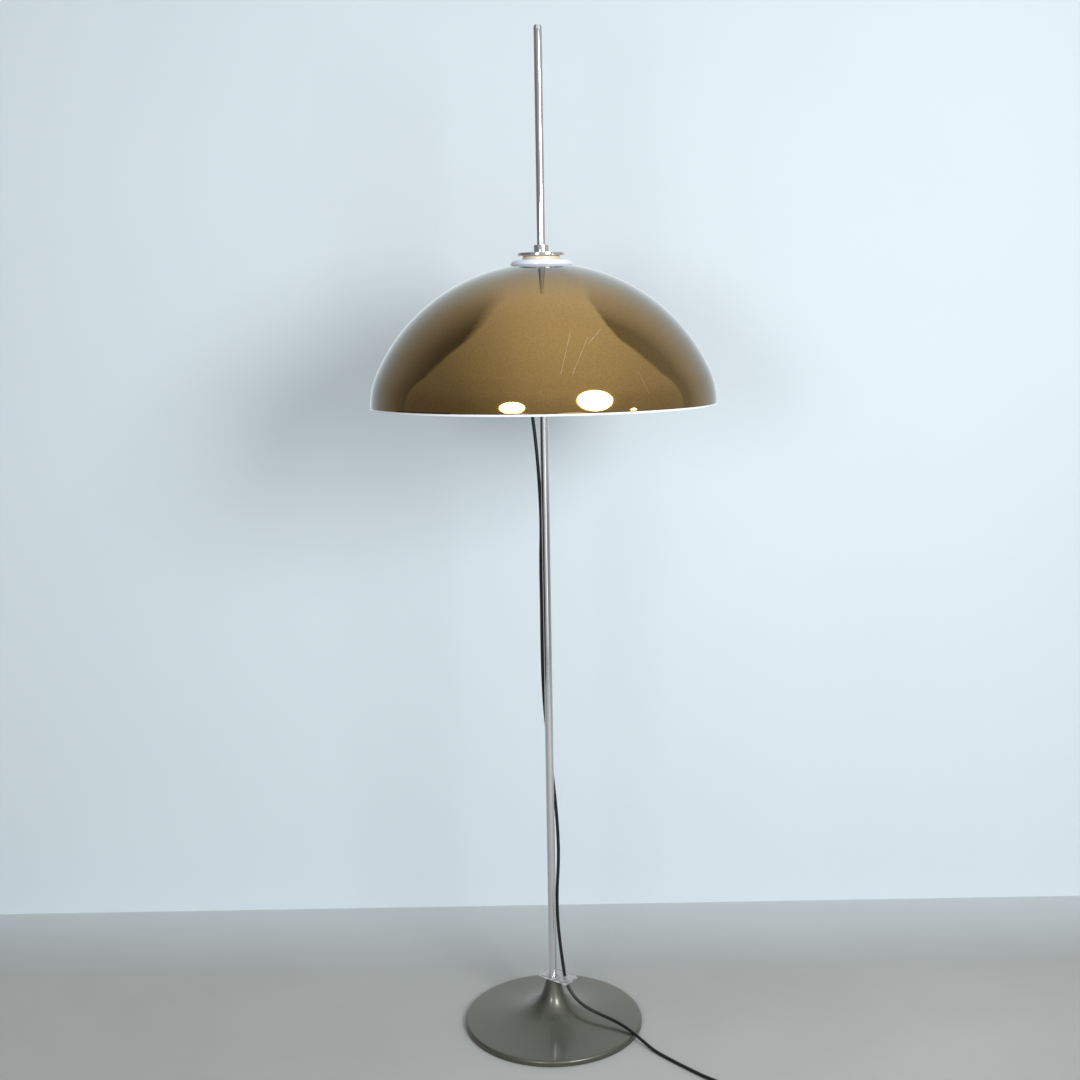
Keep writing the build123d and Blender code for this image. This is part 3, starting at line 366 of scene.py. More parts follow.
# %% Ring on the dome
STEM_BORE = 0.0081
RING_R, RING_TOP, RING_ROUND = 0.0445, 1.1625, 0.0055
RING_FLAT_R, RING_CHAMFER = 0.030, 0.0004
RING_SEAT = (0.036, 0.028, 0.020, 0.013, STEM_BORE)
ring_line = [(STEM_BORE, RING_TOP), (RING_FLAT_R, RING_TOP)]
ring_line += arc((RING_R - RING_ROUND, RING_TOP - RING_ROUND), RING_ROUND, 90, 0, 10)
ring_line += [(RING_R, dome_height(RING_R) + RING_CHAMFER)]
ring_line += [(RING_R - RING_CHAMFER, dome_height(RING_R))]
ring_line += [(radius, dome_height(radius)) for radius in RING_SEAT]
ring_line.append(ring_line[0])
white_ring = turned("white_ring", ring_line, 128)
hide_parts("top_ring")
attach(white_ring, "head")

# %% [markdown]
# The collar over the ring is a plain cream washer with one rounded edge. It shows as a thin warm
# line under the clamp.

# %% Collar
COLLAR_R, COLLAR_TOP, COLLAR_ROUND = 0.027, 1.1678, 0.0012
collar_line = [(STEM_BORE, RING_TOP), (STEM_BORE, COLLAR_TOP)]
collar_line += arc((COLLAR_R - COLLAR_ROUND, COLLAR_TOP - COLLAR_ROUND), COLLAR_ROUND, 90, 0, 6)
collar_line += [(COLLAR_R, RING_TOP), (STEM_BORE, RING_TOP)]
cream_collar = turned("cream_collar", collar_line)
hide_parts("collar_nut")
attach(cream_collar, "head")

# %% [markdown]
# The polished clamp is a flat disc with a hub, which is turned to grip the pole. It is hollow:
# the hub closes over the head's tube, which ends inside it. Every outer edge is rounded a little,
# because a turned and plated edge always catches a thin line of light.

# %% Clamp disc and hub
DISC_R, DISC_LOW, DISC_TOP = 0.0345, 1.1681, 1.1726
HUB_R, HUB_BORE, HUB_TOP, HUB_LID = 0.0110, 0.0063, 1.1839, 0.0026
RECESS_R, RECESS_LOW = 0.0085, 1.1732
EDGE, HUB_FILLET = 0.0008, 0.0006
clamp_line = [(STEM_BORE, DISC_LOW), (DISC_R - EDGE, DISC_LOW)]
clamp_line += arc((DISC_R - EDGE, DISC_LOW + EDGE), EDGE, -90, 0, 4)[1:]
clamp_line += arc((DISC_R - EDGE, DISC_TOP - EDGE), EDGE, 0, 90, 4)
clamp_line += [(HUB_R + HUB_FILLET, DISC_TOP), (HUB_R, DISC_TOP + HUB_FILLET)]
clamp_line += arc((HUB_R - EDGE, HUB_TOP - EDGE), EDGE, 0, 90, 4)
clamp_line += [(HUB_BORE, HUB_TOP), (HUB_BORE, HUB_TOP - HUB_LID), (RECESS_R, HUB_TOP - HUB_LID)]
clamp_line += [(RECESS_R, RECESS_LOW), (STEM_BORE, RECESS_LOW), (STEM_BORE, DISC_LOW)]
clamp_disc = turned("clamp_disc", clamp_line, 128)
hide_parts("clamp_knob")
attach(clamp_disc, "clamp")

# %% [markdown]
# ## Pole and foot
# The pole is a thin plated tube with a rounded plug in its top. Both are turned, the plug with
# the spigot that sits in the tube.

# %% Pole
POLE_R, POLE_BORE, POLE_LOW, POLE_TOP = 0.0060, 0.0048, 0.016, 1.485
CAP_SEAT, CAP_ROUND = 1.4795, 0.0046
SPIGOT_R, SPIGOT_L = 0.0047, 0.014
TUBE_CHAMFER, CAP_CHAMFER = 0.0003, 0.0002
pole_line = [(POLE_BORE, POLE_LOW), (POLE_R, POLE_LOW), (POLE_R, CAP_SEAT - TUBE_CHAMFER)]
pole_line += [(POLE_R - TUBE_CHAMFER, CAP_SEAT), (POLE_BORE, CAP_SEAT), (POLE_BORE, POLE_LOW)]
pole_tube = turned("pole_tube", pole_line, 64)
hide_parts("pole")
cap_line = [(0, CAP_SEAT - SPIGOT_L), (SPIGOT_R, CAP_SEAT - SPIGOT_L), (SPIGOT_R, CAP_SEAT)]
cap_line += [(POLE_R - CAP_CHAMFER, CAP_SEAT), (POLE_R, CAP_SEAT + CAP_CHAMFER)]
cap_line += arc((POLE_R - CAP_ROUND, POLE_TOP - CAP_ROUND), CAP_ROUND, 0, 90, 12)
cap_line += [(0, POLE_TOP)]
pole_plug = turned("pole_plug", cap_line, 64)
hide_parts("pole_cap")
for piece in (pole_tube, pole_plug):
    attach(piece, "stand")

# %% [markdown]
# The foot is a spun trumpet of sheet metal. Its outline is a hyperbola that starts steep at the
# neck and runs out flat to a rounded rim, and the same curve moved inwards by the sheet's
# thickness is its inside. Points are closer together near the neck, where the curve bends most.

# %% Foot cover
FOOT_R, NECK_R, NECK_TOP, RIM_TOP, RIM_ROUND = 0.137, 0.0106, 0.071, 0.0092, 0.004
SHEET_T, FLARE_SHIFT, LIP = 0.0016, 0.0017, 0.0008
NECK_CHAMFER, INSIDE_R, BORE = 0.0004, 0.132, POLE_R + 0.00005
FLARE_END = FOOT_R - RIM_ROUND
near, far = 1 / (NECK_R + FLARE_SHIFT), 1 / (FLARE_END + FLARE_SHIFT)
FLARE_STRENGTH = (NECK_TOP - RIM_TOP) / (near - far)


def flare(offset, count=48):
    """Points down the trumpet from its neck to its rim, moved inwards by offset."""
    points = []
    for i in range(count + 1):
        radius = NECK_R * (FLARE_END / NECK_R) ** (i / count)
        height = RIM_TOP + FLARE_STRENGTH * (1 / (radius + FLARE_SHIFT) - far)
        slope = -FLARE_STRENGTH / (radius + FLARE_SHIFT) ** 2
        size = sqrt(1 + slope * slope)
        points.append((radius + offset * slope / size, height - offset / size))
    return points


foot_line = [(BORE, NECK_TOP), (NECK_R - NECK_CHAMFER, NECK_TOP), (NECK_R, NECK_TOP - NECK_CHAMFER)]
foot_line += flare(0)[1:-1]
foot_line += arc((FLARE_END, RIM_TOP - RIM_ROUND), RIM_ROUND, 88, 0, 10)
foot_line += [(FOOT_R, LIP), (FOOT_R - SHEET_T, LIP), (FOOT_R - SHEET_T, RIM_TOP - RIM_ROUND)]
inner = [
    (radius, height) for radius, height in flare(SHEET_T)[::-1]
    if height < NECK_TOP - SHEET_T and radius < INSIDE_R
]
foot_line += inner + [(inner[-1][0], NECK_TOP - SHEET_T), (BORE, NECK_TOP - SHEET_T)]
foot_line.append(foot_line[0])
foot_cover = turned("foot_cover", foot_line, 160)
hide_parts("foot_shell")
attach(foot_cover, "stand")

# %% [markdown]
# ## Lamps under the shade
# Three opal bulbs in black lampholders point outwards from a small round cup. One of each is
# turned upright, laid down along +X and then copied round the pole, each copy with its own mesh.
# The lampholder is a moulded pot with grip grooves, a wide skirt at its mouth and a deep bore.

# %% Lampholders
LAMPS, LAMP_Z = 3, 1.0730
BACK, STEP, MOUTH = 0.031, 0.059, 0.079      # distances from the pole's axis
HOLDER_R, SKIRT_R, THREAD_R, LEAD_HOLE_R = 0.018, 0.0205, 0.0136, 0.005
BACK_ROUND, MOUTH_ROUND, STEP_CHAMFER, BORE_CHAMFER = 0.005, 0.0008, 0.0006, 0.0004
FLOOR_T = 0.012
GROOVES, GROOVE_FROM, GROOVE_PITCH, GROOVE_D = 4, 0.008, 0.0045, 0.0007
GROOVE_SIDE, GROOVE_W = 0.0004, 0.0018


def fan_out(model, stem_name, body):
    """Lay the upright model along +X at the lamps' level and copy it round the pole."""
    only(model)
    model.rotation_euler = (0, pi / 2, 0)
    model.location = (0, 0, LAMP_Z)
    bpy.ops.object.transform_apply(location=True, rotation=True, scale=True)
    copies = []
    for i in range(LAMPS):
        copy = model.copy()
        copy.data = model.data.copy()
        copy.name = copy.data.name = f"{stem_name}_{i + 1}"
        bpy.context.scene.collection.objects.link(copy)
        only(copy)
        copy.rotation_euler = (0, 0, 2 * pi * i / LAMPS)
        bpy.ops.object.transform_apply(location=True, rotation=True, scale=True)
        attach(copy, body)
        copies.append(copy)
    bpy.data.objects.remove(model)
    return copies


holder_line = [(LEAD_HOLE_R, BACK), (HOLDER_R - BACK_ROUND, BACK)]
holder_line += arc((HOLDER_R - BACK_ROUND, BACK + BACK_ROUND), BACK_ROUND, -90, 0, 6)[1:]
for groove in range(GROOVES):
    low = BACK + GROOVE_FROM + groove * GROOVE_PITCH
    floor_r = HOLDER_R - GROOVE_D
    holder_line += [(HOLDER_R, low), (floor_r, low + GROOVE_SIDE)]
    holder_line += [(floor_r, low + GROOVE_W - GROOVE_SIDE), (HOLDER_R, low + GROOVE_W)]
holder_line += [(HOLDER_R, STEP), (SKIRT_R - STEP_CHAMFER, STEP), (SKIRT_R, STEP + STEP_CHAMFER)]
holder_line += arc((SKIRT_R - MOUTH_ROUND, MOUTH - MOUTH_ROUND), MOUTH_ROUND, 0, 90, 4)
holder_line += [(THREAD_R + BORE_CHAMFER, MOUTH), (THREAD_R, MOUTH - BORE_CHAMFER)]
holder_line += [(THREAD_R, BACK + FLOOR_T), (LEAD_HOLE_R, BACK + FLOOR_T), (LEAD_HOLE_R, BACK)]
holders = fan_out(turned("holder_model", holder_line, 72), "holder", "head")
for i in range(LAMPS):
    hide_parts(f"lampholder_{i + 1}")

# %% [markdown]
# A bulb is two pieces: the opal glass, whose neck swells smoothly into a ball, and the brass
# screw on which it is cemented. A smoothstep gives the neck its even swell without a visible
# join, and the thread is drawn as plain ridges, because a ridge and a thread look the same here.

# %% Bulbs and their screws
BULB_R, GLASS_L, GLASS_FOOT = 0.030, 0.082, 0.0002
BULB_FOOT_R, BULB_NECK_R, BULB_NECK_L, NECK_POINTS = 0.0121, 0.0123, 0.003, 14
ball = MOUTH + GLASS_L - BULB_R
bulb_line = [(0.0, MOUTH + GLASS_FOOT), (BULB_FOOT_R, MOUTH + GLASS_FOOT)]
for i in range(1, NECK_POINTS + 1):
    share = i / NECK_POINTS
    swell = share * share * (3 - 2 * share)
    bulb_line.append((
        BULB_NECK_R + (BULB_R - BULB_NECK_R) * swell,
        MOUTH + BULB_NECK_L + (ball - MOUTH - BULB_NECK_L) * share,
    ))
bulb_line += arc((0, ball), BULB_R, 0, 90, 20)[1:]
bulbs = fan_out(turned("bulb_model", bulb_line, 72), "bulb", "head")

SCREW_R, SCREW_OUT_R, RIDGE_R, RIDGES, RIDGE_PITCH = 0.0123, 0.0133, 0.002, 5, 0.004
SCREW_LOW, CONE_TOP, FIRST_RIDGE = MOUTH - 0.027, MOUTH - 0.023, MOUTH - 0.020
screw_line = [(0.0, SCREW_LOW), (0.004, SCREW_LOW), (0.009, CONE_TOP), (SCREW_R, MOUTH - 0.022)]
for i in range(RIDGES):
    screw_line += arc((SCREW_R, FIRST_RIDGE + RIDGE_PITCH * i), RIDGE_R, -90, 90, 6)
screw_line = [(min(radius, SCREW_OUT_R), height) for radius, height in screw_line]
screw_line += [(SCREW_R, MOUTH), (0.0, MOUTH)]
bulb_screws = fan_out(turned("base_model", screw_line, 64), "bulb_screw", "head")
for i in range(LAMPS):
    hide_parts(f"bulb_glass_{i + 1}")
    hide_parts(f"bulb_base_{i + 1}")

# %% [markdown]
# The lampholders are screwed to a thin drawn cup, which holds the wiring and the cord's gland.
# It is a plain turned pot with a rounded bottom edge and a hole for the head's tube.

# %% Lamp cup
CUP_R, CUP_LOW, CUP_TOP, CUP_T, CUP_ROUND = 0.030, 1.0480, 1.0980, 0.0015, 0.003
cup_line = [(STEM_BORE, CUP_LOW), (CUP_R - CUP_ROUND, CUP_LOW)]
cup_line += arc((CUP_R - CUP_ROUND, CUP_LOW + CUP_ROUND), CUP_ROUND, -90, 0, 6)[1:]
cup_line += [(CUP_R, CUP_TOP), (CUP_R - CUP_T, CUP_TOP), (CUP_R - CUP_T, CUP_LOW + CUP_T)]
cup_line += [(STEM_BORE, CUP_LOW + CUP_T), (STEM_BORE, CUP_LOW)]
cup_shell = turned("cup_shell", cup_line)
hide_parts("lamp_cup")
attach(cup_shell, "head")

# %% [markdown]
# ## Materials
# Each finish is a small node graph that reads Object coordinates, so a pattern stays on its
# piece. Values that are the same all over a surface are typed straight into the shader.


# %% Shader and pattern helpers
def shader(name, **values):
    """New material with values typed into its Principled shader."""
    material = bpy.data.materials.new(name)
    material.use_nodes = True
    nodes = material.node_tree.nodes
    surface = nodes["Principled BSDF"]
    for key, value in values.items():
        socket = surface.inputs[key.replace("_", " ")]
        socket.default_value = (*value, 1.0) if isinstance(value, tuple) else value
    print("finish", name)
    return material, nodes, material.node_tree.links, surface


def object_noise(nodes, links, scale, detail=4.0, stretch=(1, 1, 1)):
    """Noise that is fixed to the piece."""
    place = nodes.new("ShaderNodeTexCoord")
    mapping = nodes.new("ShaderNodeMapping")
    mapping.inputs["Scale"].default_value = stretch
    noise = nodes.new("ShaderNodeTexNoise")
    noise.inputs["Scale"].default_value = scale
    noise.inputs["Detail"].default_value = detail
    links.new(place.outputs["Object"], mapping.inputs["Vector"])
    links.new(mapping.outputs["Vector"], noise.inputs["Vector"])
    return noise.outputs["Fac"]


def spread(nodes, links, source, low, high, from_low=0.3, from_high=0.7):
    """Stretch a pattern to a range of values."""
    node = nodes.new("ShaderNodeMapRange")
    node.inputs["From Min"].default_value = from_low
    node.inputs["From Max"].default_value = from_high
    node.inputs["To Min"].default_value = low
    node.inputs["To Max"].default_value = high
    links.new(source, node.inputs["Value"])
    return node.outputs["Result"]


def tones(nodes, links, source, dark, light, low=0.3, high=0.7):
    """Colour that wanders between two tones."""
    ramp = nodes.new("ShaderNodeValToRGB")
    ramp.color_ramp.elements[0].position, ramp.color_ramp.elements[0].color = low, (*dark, 1)
    ramp.color_ramp.elements[1].position, ramp.color_ramp.elements[1].color = high, (*light, 1)
    links.new(source, ramp.inputs["Fac"])
    return ramp.outputs["Color"]


# %% Mixing helpers
def mix_colour(nodes, links, factor, first, second):
    """Blend a colour socket towards a plain colour."""
    node = nodes.new("ShaderNodeMix")
    node.data_type = "RGBA"
    links.new(factor, node.inputs["Factor"])
    links.new(first, node.inputs["A"])
    node.inputs["B"].default_value = (*second, 1.0)
    return node.outputs["Result"]


def bump(nodes, links, surface, source, distance, strength):
    """Relief from a pattern, a distance in metres deep."""
    node = nodes.new("ShaderNodeBump")
    node.inputs["Distance"].default_value = distance
    node.inputs["Strength"].default_value = strength
    links.new(source, node.inputs["Height"])
    links.new(node.outputs["Normal"], surface.inputs["Normal"])


def math_node(nodes, links, kind, *values, clamp=False):
    """Math on sockets or plain numbers."""
    node = nodes.new("ShaderNodeMath")
    node.operation, node.use_clamp = kind, clamp
    for socket, value in zip(node.inputs, values):
        if isinstance(value, (int, float)):
            socket.default_value = value
        else:
            links.new(value, socket)
    return node.outputs[0]


# %% [markdown]
# Most finishes of this lamp are plain, with a slight unevenness in colour, gloss or relief that
# a real surface always has. One helper makes them all, from a noise pattern and up to three
# ranges: two tones, a least and a greatest roughness, and how deep the relief is.


# %% Uneven finishes
def uneven(
    name, dark, light, scale, detail=4.0, stretch=(1, 1, 1), gloss=None, relief=None, **values
):
    """Finish whose colour, and where given its roughness and relief, vary over the piece."""
    material, nodes, links, surface = shader(name, **values)
    pattern = object_noise(nodes, links, scale, detail, stretch)
    links.new(tones(nodes, links, pattern, dark, light), surface.inputs["Base Color"])
    if gloss:
        links.new(spread(nodes, links, pattern, *gloss), surface.inputs["Roughness"])
    if relief:
        bump(nodes, links, surface, pattern, *relief)
    return material


def paint(material, *pieces):
    """Give pieces their finish."""
    for piece in pieces:
        piece.data.materials.append(material)


# %% [markdown]
# ### Brown acrylic
# The brown dome is transparent acrylic in front of white, as glossy as glass. Light that goes
# through it twice comes back brown, and near the edge, where it is seen at a slant, the clear
# surface mirrors the room. Real transparency over the white dome would need many bounces and
# still look grainy, so the look is built as a tinted mirror whose tint fades at a slant, under a
# clear coat. The hairline scratches of long use are drawn on it: each one is a thin band between
# two places on the dome, broken up by noise.


# %% Scratch helper
def scratch(nodes, links, start, end, before, width=0.0003):
    """Hairline over the dome between two places, broken up by noise and added to earlier ones."""
    place = nodes.new("ShaderNodeTexCoord").outputs["Object"]
    run = Vector(end) - Vector(start)
    sideways = run.cross(Vector(start) - Vector((0, 0, CROWN_MIDDLE))).normalized()

    def distance(direction):
        """Distance from the start in a direction."""
        offset = nodes.new("ShaderNodeVectorMath")
        offset.operation = "SUBTRACT"
        offset.inputs[1].default_value = start
        dot = nodes.new("ShaderNodeVectorMath")
        dot.operation = "DOT_PRODUCT"
        dot.inputs[1].default_value = direction
        links.new(place, offset.inputs[0])
        links.new(offset.outputs["Vector"], dot.inputs[0])
        return dot.outputs["Value"]

    aside = math_node(nodes, links, "ABSOLUTE", distance(sideways))
    line = spread(nodes, links, aside, 1.0, 0.0, width * 0.4, width)
    between = math_node(nodes, links, "COMPARE", distance(run / run.length_squared), 0.5, 0.5)
    broken = spread(nodes, links, object_noise(nodes, links, 160.0), 0.2, 0.95)
    mark = math_node(nodes, links, "MULTIPLY", line, between)
    return math_node(nodes, links, "MULTIPLY_ADD", mark, broken, before)


# %% Brown acrylic of the outer dome
brown, nodes, links, surface = shader(
    "brown_acrylic", Metallic=1.0, Roughness=0.05, Specular_Tint=(0.32, 0.50, 0.66),
    Coat_Weight=1.0, Coat_Roughness=0.012, Coat_IOR=1.53,
    Sheen_Weight=0.04, Sheen_Roughness=0.35, Sheen_Tint=(0.86, 0.94, 1.0),
)
grain = object_noise(nodes, links, 420.0, 3.0)
body = tones(nodes, links, grain, (0.335, 0.187, 0.034), (0.425, 0.240, 0.050))
SCRATCHES = [
    ((0.0369, -0.1997, 1.0636), (0.0228, -0.2371, 1.0086)),
    ((0.0587, -0.2021, 1.0543), (0.0380, -0.2353, 1.0083)),
    ((0.0762, -0.1877, 1.0642), (0.0597, -0.2076, 1.0467)),
    ((0.1228, -0.2042, 1.0084), (0.1368, -0.2065, 0.9813)),
]
SCRATCH_COLOUR = (0.85, 0.74, 0.50)
marks = 0.0
for start, end in SCRATCHES:
    marks = scratch(nodes, links, start, end, marks)
scratched = mix_colour(nodes, links, marks, body, SCRATCH_COLOUR)
links.new(scratched, surface.inputs["Base Color"])
bump(nodes, links, surface, grain, 0.00001, 0.15)
paint(brown, brown_dome)

# %% [markdown]
# The inner dome and the ring are glossy white acrylic. The ring's white is painted bluer than the
# dome's, a painted reflection of the wall that the ring mirrors. The collar is cream.

# %% White acrylic and cream plastic
white = uneven(
    "white_acrylic", (0.78, 0.80, 0.83), (0.83, 0.85, 0.89), 30.0,
    Roughness=0.16, IOR=1.49, Coat_Weight=0.3, Coat_Roughness=0.05,
)
# painted reflection: the ring's white is tinted blue for the wall that it mirrors
ring_white_painted_reflection = uneven(
    "white_acrylic_painted_reflection", (0.68, 0.73, 0.84), (0.73, 0.79, 0.90), 30.0,
    Roughness=0.16, IOR=1.49, Coat_Weight=0.3,
)
cream = uneven(
    "cream_plastic", (0.74, 0.62, 0.42), (0.80, 0.70, 0.52), 60.0, Roughness=0.3, IOR=1.49,
)
paint(white, white_dome)
paint(ring_white_painted_reflection, white_ring)
paint(cream, cream_collar)

# %% [markdown]
# The pole and the clamp are chrome plated. A perfect mirror looks like a drawing, so the gloss
# and the relief vary along fine lines. The pole was drawn through a die, and its lines are
# stretched along it.


# %% Plated metal
def plated(name, colour, low, high, stretch=(1, 1, 1), scale=400.0):
    """Polished or brushed metal whose gloss varies along fine lines."""
    dark = tuple(value * 0.94 for value in colour)
    return uneven(
        name, dark, colour, scale, 3.0, stretch, gloss=(low, high), relief=(0.00002, 0.2),
        Metallic=1.0,
    )


chrome = plated("polished_chrome", (0.86, 0.86, 0.87), 0.04, 0.09)
pole_metal = plated("drawn_chrome", (0.84, 0.83, 0.86), 0.05, 0.10, (1, 1, 0.02), 900.0)
steel = plated("zinc_plated_steel", (0.60, 0.61, 0.62), 0.22, 0.36)
brass = plated("plain_brass", (0.72, 0.53, 0.26), 0.18, 0.32)
paint(chrome, clamp_disc, pole_plug)
paint(pole_metal, pole_tube)
paint(steel, cup_shell, spring)
paint(brass, *bulb_screws)

# %% [markdown]
# The foot is painted a dark pewter: fine metal flakes under a thin clear coat. Half a metal, with
# its colour and roughness varying from flake to flake, gives the broad soft highlight, and the
# coat adds the sharper one.

# %% Pewter paint of the foot
pewter = uneven(
    "pewter_paint", (0.074, 0.075, 0.058), (0.100, 0.101, 0.080), 1400.0, 2.0,
    gloss=(0.34, 0.46), relief=(0.00003, 0.2),
    Metallic=0.6, Coat_Weight=0.55, Coat_Roughness=0.11, Coat_IOR=1.45,
)
paint(pewter, foot_cover)

# %% [markdown]
# Opal glass is a milky white with a hard gloss. The moulded pieces and the cord are nearly
# black and differ in grain and gloss: the sheath is smoother and mirrors less.

# %% Opal glass, black moulded plastic, cord sheath
opal = uneven(
    "opal_glass", (0.80, 0.80, 0.78), (0.86, 0.86, 0.84), 25.0,
    Roughness=0.12, IOR=1.5, Coat_Weight=0.5, Coat_Roughness=0.03,
)
moulded = uneven(
    "black_moulding", (0.014, 0.014, 0.015), (0.022, 0.022, 0.024), 700.0,
    gloss=(0.28, 0.42), relief=(0.00005, 0.3), IOR=1.5,
)
sheath = uneven(
    "cord_sheath", (0.006, 0.006, 0.007), (0.011, 0.011, 0.012), 260.0,
    gloss=(0.26, 0.38), IOR=1.45, Specular_IOR_Level=0.4,
)
paint(opal, *bulbs)
paint(moulded, *holders)
paint(sheath, supply_cord, plug_cord)

# %% [markdown]
# The guide on the foot's neck is sawn from clear acrylic, so light goes through it and is
# scattered a little by its dull faces. The rest of these finishes are for pieces that hardly
# show: felt and iron under the foot, rubber and ceramic in the head, the switch's button.

# %% Clear acrylic and the hidden pieces' finishes
clear = uneven(
    "clear_acrylic", (0.93, 0.94, 0.94), (0.99, 0.99, 0.99), 120.0,
    gloss=(0.10, 0.22), IOR=1.49, Transmission_Weight=0.88,
)
felt = uneven(
    "felt", (0.012, 0.013, 0.013), (0.035, 0.036, 0.036), 900.0, 6.0,
    relief=(0.0004, 0.6), Roughness=0.95, Sheen_Weight=0.4,
)
iron = uneven(
    "cast_iron", (0.05, 0.05, 0.05), (0.10, 0.10, 0.10), 300.0, 6.0,
    relief=(0.0003, 0.5), Metallic=0.6, Roughness=0.6,
)
rubber = uneven("soft_rubber", (0.02, 0.02, 0.02), (0.035, 0.035, 0.035), 500.0, Roughness=0.7)
ceramic = uneven("unglazed_ceramic", (0.66, 0.64, 0.58), (0.74, 0.72, 0.67), 400.0, Roughness=0.6)
glossy_black = uneven(
    "button_plastic", (0.018, 0.018, 0.019), (0.028, 0.028, 0.03), 300.0,
    Roughness=0.15, Coat_Weight=0.5,
)

# %% [markdown]
# The remaining CAD nodes already have the right shape. They only get a better finish, chosen by
# the slot that the record gives them.

# %% Dress the CAD nodes
FINISHES = {
    "pewter": pewter, "iron": iron, "felt": felt, "steel": steel, "chrome": chrome, "clear": clear,
    "brown": brown, "white": white, "ivory": cream, "rubber": rubber, "zinc": steel,
    "brass": brass, "bakelite": moulded, "ceramic": ceramic, "opal": opal, "cord": sheath,
    "black": moulded, "button": glossy_black,
}
for part in frame["record"]["subparts"]:
    mesh = NODES[part["node"]].data
    if not mesh.materials:
        mesh.materials.append(None)
    for index in range(len(mesh.materials)):
        mesh.materials[index] = FINISHES[part["material_slot"]]

# %% [markdown]
# ## Studio
# A pale wall stands close behind the lamp, on a pale grey floor with painted light: it is painted
# paler towards the wall.
# Glossy pieces mirror the room instead of the wall, because a flat wall that close would hide the
# room's shading from the dome. The wall is see-through from behind, so that the lamp can be
# looked at from that side too.


# %% Studio helpers
def matt(name, dark, light, scale):
    """Plain dull paint or cloth."""
    return uneven(name, dark, light, scale, 5.0, Roughness=0.9, Specular_IOR_Level=0.2)


def card(name, corners, material):
    """Flat studio surface with the given corners."""
    mesh = bpy.data.meshes.new(name)
    mesh.from_pydata(corners, [], [tuple(range(len(corners)))])
    surface = bpy.data.objects.new(name, mesh)
    bpy.context.scene.collection.objects.link(surface)
    mesh.materials.append(material)
    print(name, "in the studio")
    return surface


# %% Floor
FLOOR_REACH = 6
# painted light: near the wall the floor's colour is blended towards a paler tone
PALER_FROM, PALER_TO, PALER_SHARE, PALER = 0.18, 0.44, 0.85, (0.56, 0.60, 0.61)
floor_paint = matt("floor_paint", (0.36, 0.365, 0.35), (0.40, 0.405, 0.39), 2.5)
nodes, links = floor_paint.node_tree.nodes, floor_paint.node_tree.links
base_colour = nodes["Principled BSDF"].inputs["Base Color"]
place = nodes.new("ShaderNodeTexCoord")
parts = nodes.new("ShaderNodeSeparateXYZ")
links.new(place.outputs["Object"], parts.inputs["Vector"])
near_wall = spread(nodes, links, parts.outputs["Y"], 0.0, PALER_SHARE, PALER_FROM, PALER_TO)
paler = mix_colour(nodes, links, near_wall, base_colour.links[0].from_socket, PALER)
links.new(paler, base_colour)
floor_corners = [
    (x * FLOOR_REACH, y * FLOOR_REACH, 0) for x, y in ((-1, -1), (1, -1), (1, 1), (-1, 1))
]
card("floor", floor_corners, floor_paint)

# %% Wall
WALL_LEFT, WALL_RIGHT = (-1.006, 0.420), (0.839, 0.433)     # two places on its foot
WALL_REACH, WALL_HEIGHT = 1.2, 2.8
wall_paint = matt("wall_paint", (0.625, 0.70, 0.75), (0.655, 0.73, 0.78), 1.2)
nodes, links = wall_paint.node_tree.nodes, wall_paint.node_tree.links
side = nodes.new("ShaderNodeNewGeometry")
see_through = nodes.new("ShaderNodeBsdfTransparent")
either = nodes.new("ShaderNodeMixShader")
links.new(side.outputs["Backfacing"], either.inputs["Fac"])
links.new(nodes["Principled BSDF"].outputs["BSDF"], either.inputs[1])
links.new(see_through.outputs["BSDF"], either.inputs[2])
links.new(either.outputs["Shader"], nodes["Material Output"].inputs["Surface"])
slope = (WALL_RIGHT[1] - WALL_LEFT[1]) / (WALL_RIGHT[0] - WALL_LEFT[0])
wall_y = WALL_LEFT[1] - slope * WALL_LEFT[0]
left_y, right_y = wall_y - slope * WALL_REACH, wall_y + slope * WALL_REACH
wall_corners = [
    (-WALL_REACH, left_y, 0), (WALL_REACH, right_y, 0),
    (WALL_REACH, right_y, WALL_HEIGHT), (-WALL_REACH, left_y, WALL_HEIGHT),
]
wall = card("wall", wall_corners, wall_paint)
wall.visible_glossy = False
print("wall stands", round(wall_y, 3), "m behind the pole")

# %% [markdown]
# A black flag, a studio's way to take light away, stands low on the left. Only mirroring surfaces
# see it: it darkens the lower left of the dome as in the photograph and throws no shadow.

# %% Dark flag low on the left
FLAG_FRONT, FLAG_BACK, FLAG_HEIGHT = (-1.9, -1.15), (-2.1, 0.55), 0.86
flag_cloth = matt("flag_cloth", (0.02, 0.02, 0.02), (0.03, 0.03, 0.03), 3.0)
flag_corners = [
    (*FLAG_FRONT, 0), (*FLAG_BACK, 0), (*FLAG_BACK, FLAG_HEIGHT), (*FLAG_FRONT, FLAG_HEIGHT),
]
flag = card("flag", flag_corners, flag_cloth)
flag.visible_camera = flag.visible_diffuse = flag.visible_shadow = False
print("flag", FLAG_HEIGHT, "m high")

# %% [markdown]
# Two large soft lamps, one on each side of the camera, light the object and show as two ovals in
# the dome. A small one far on the right gives the third reflection, and two dim ones near the
# floor give the foot its highlights. Each points at the pole.


# %% Lamps
def soft_lamp(name, place, aim_height, size, energy):
    """Elliptical area lamp that points at the pole at a height."""
    data = bpy.data.lights.new(name, "AREA")
    data.shape = "ELLIPSE"
    data.size, data.size_y = size
    data.energy = energy
    lamp = bpy.data.objects.new(name, data)
    bpy.context.scene.collection.objects.link(lamp)
    lamp.location = place
    toward = Vector((0, 0, aim_height)) - Vector(place)
    lamp.rotation_euler = toward.to_track_quat("-Z", "Y").to_euler()
    print(name, energy, "W")


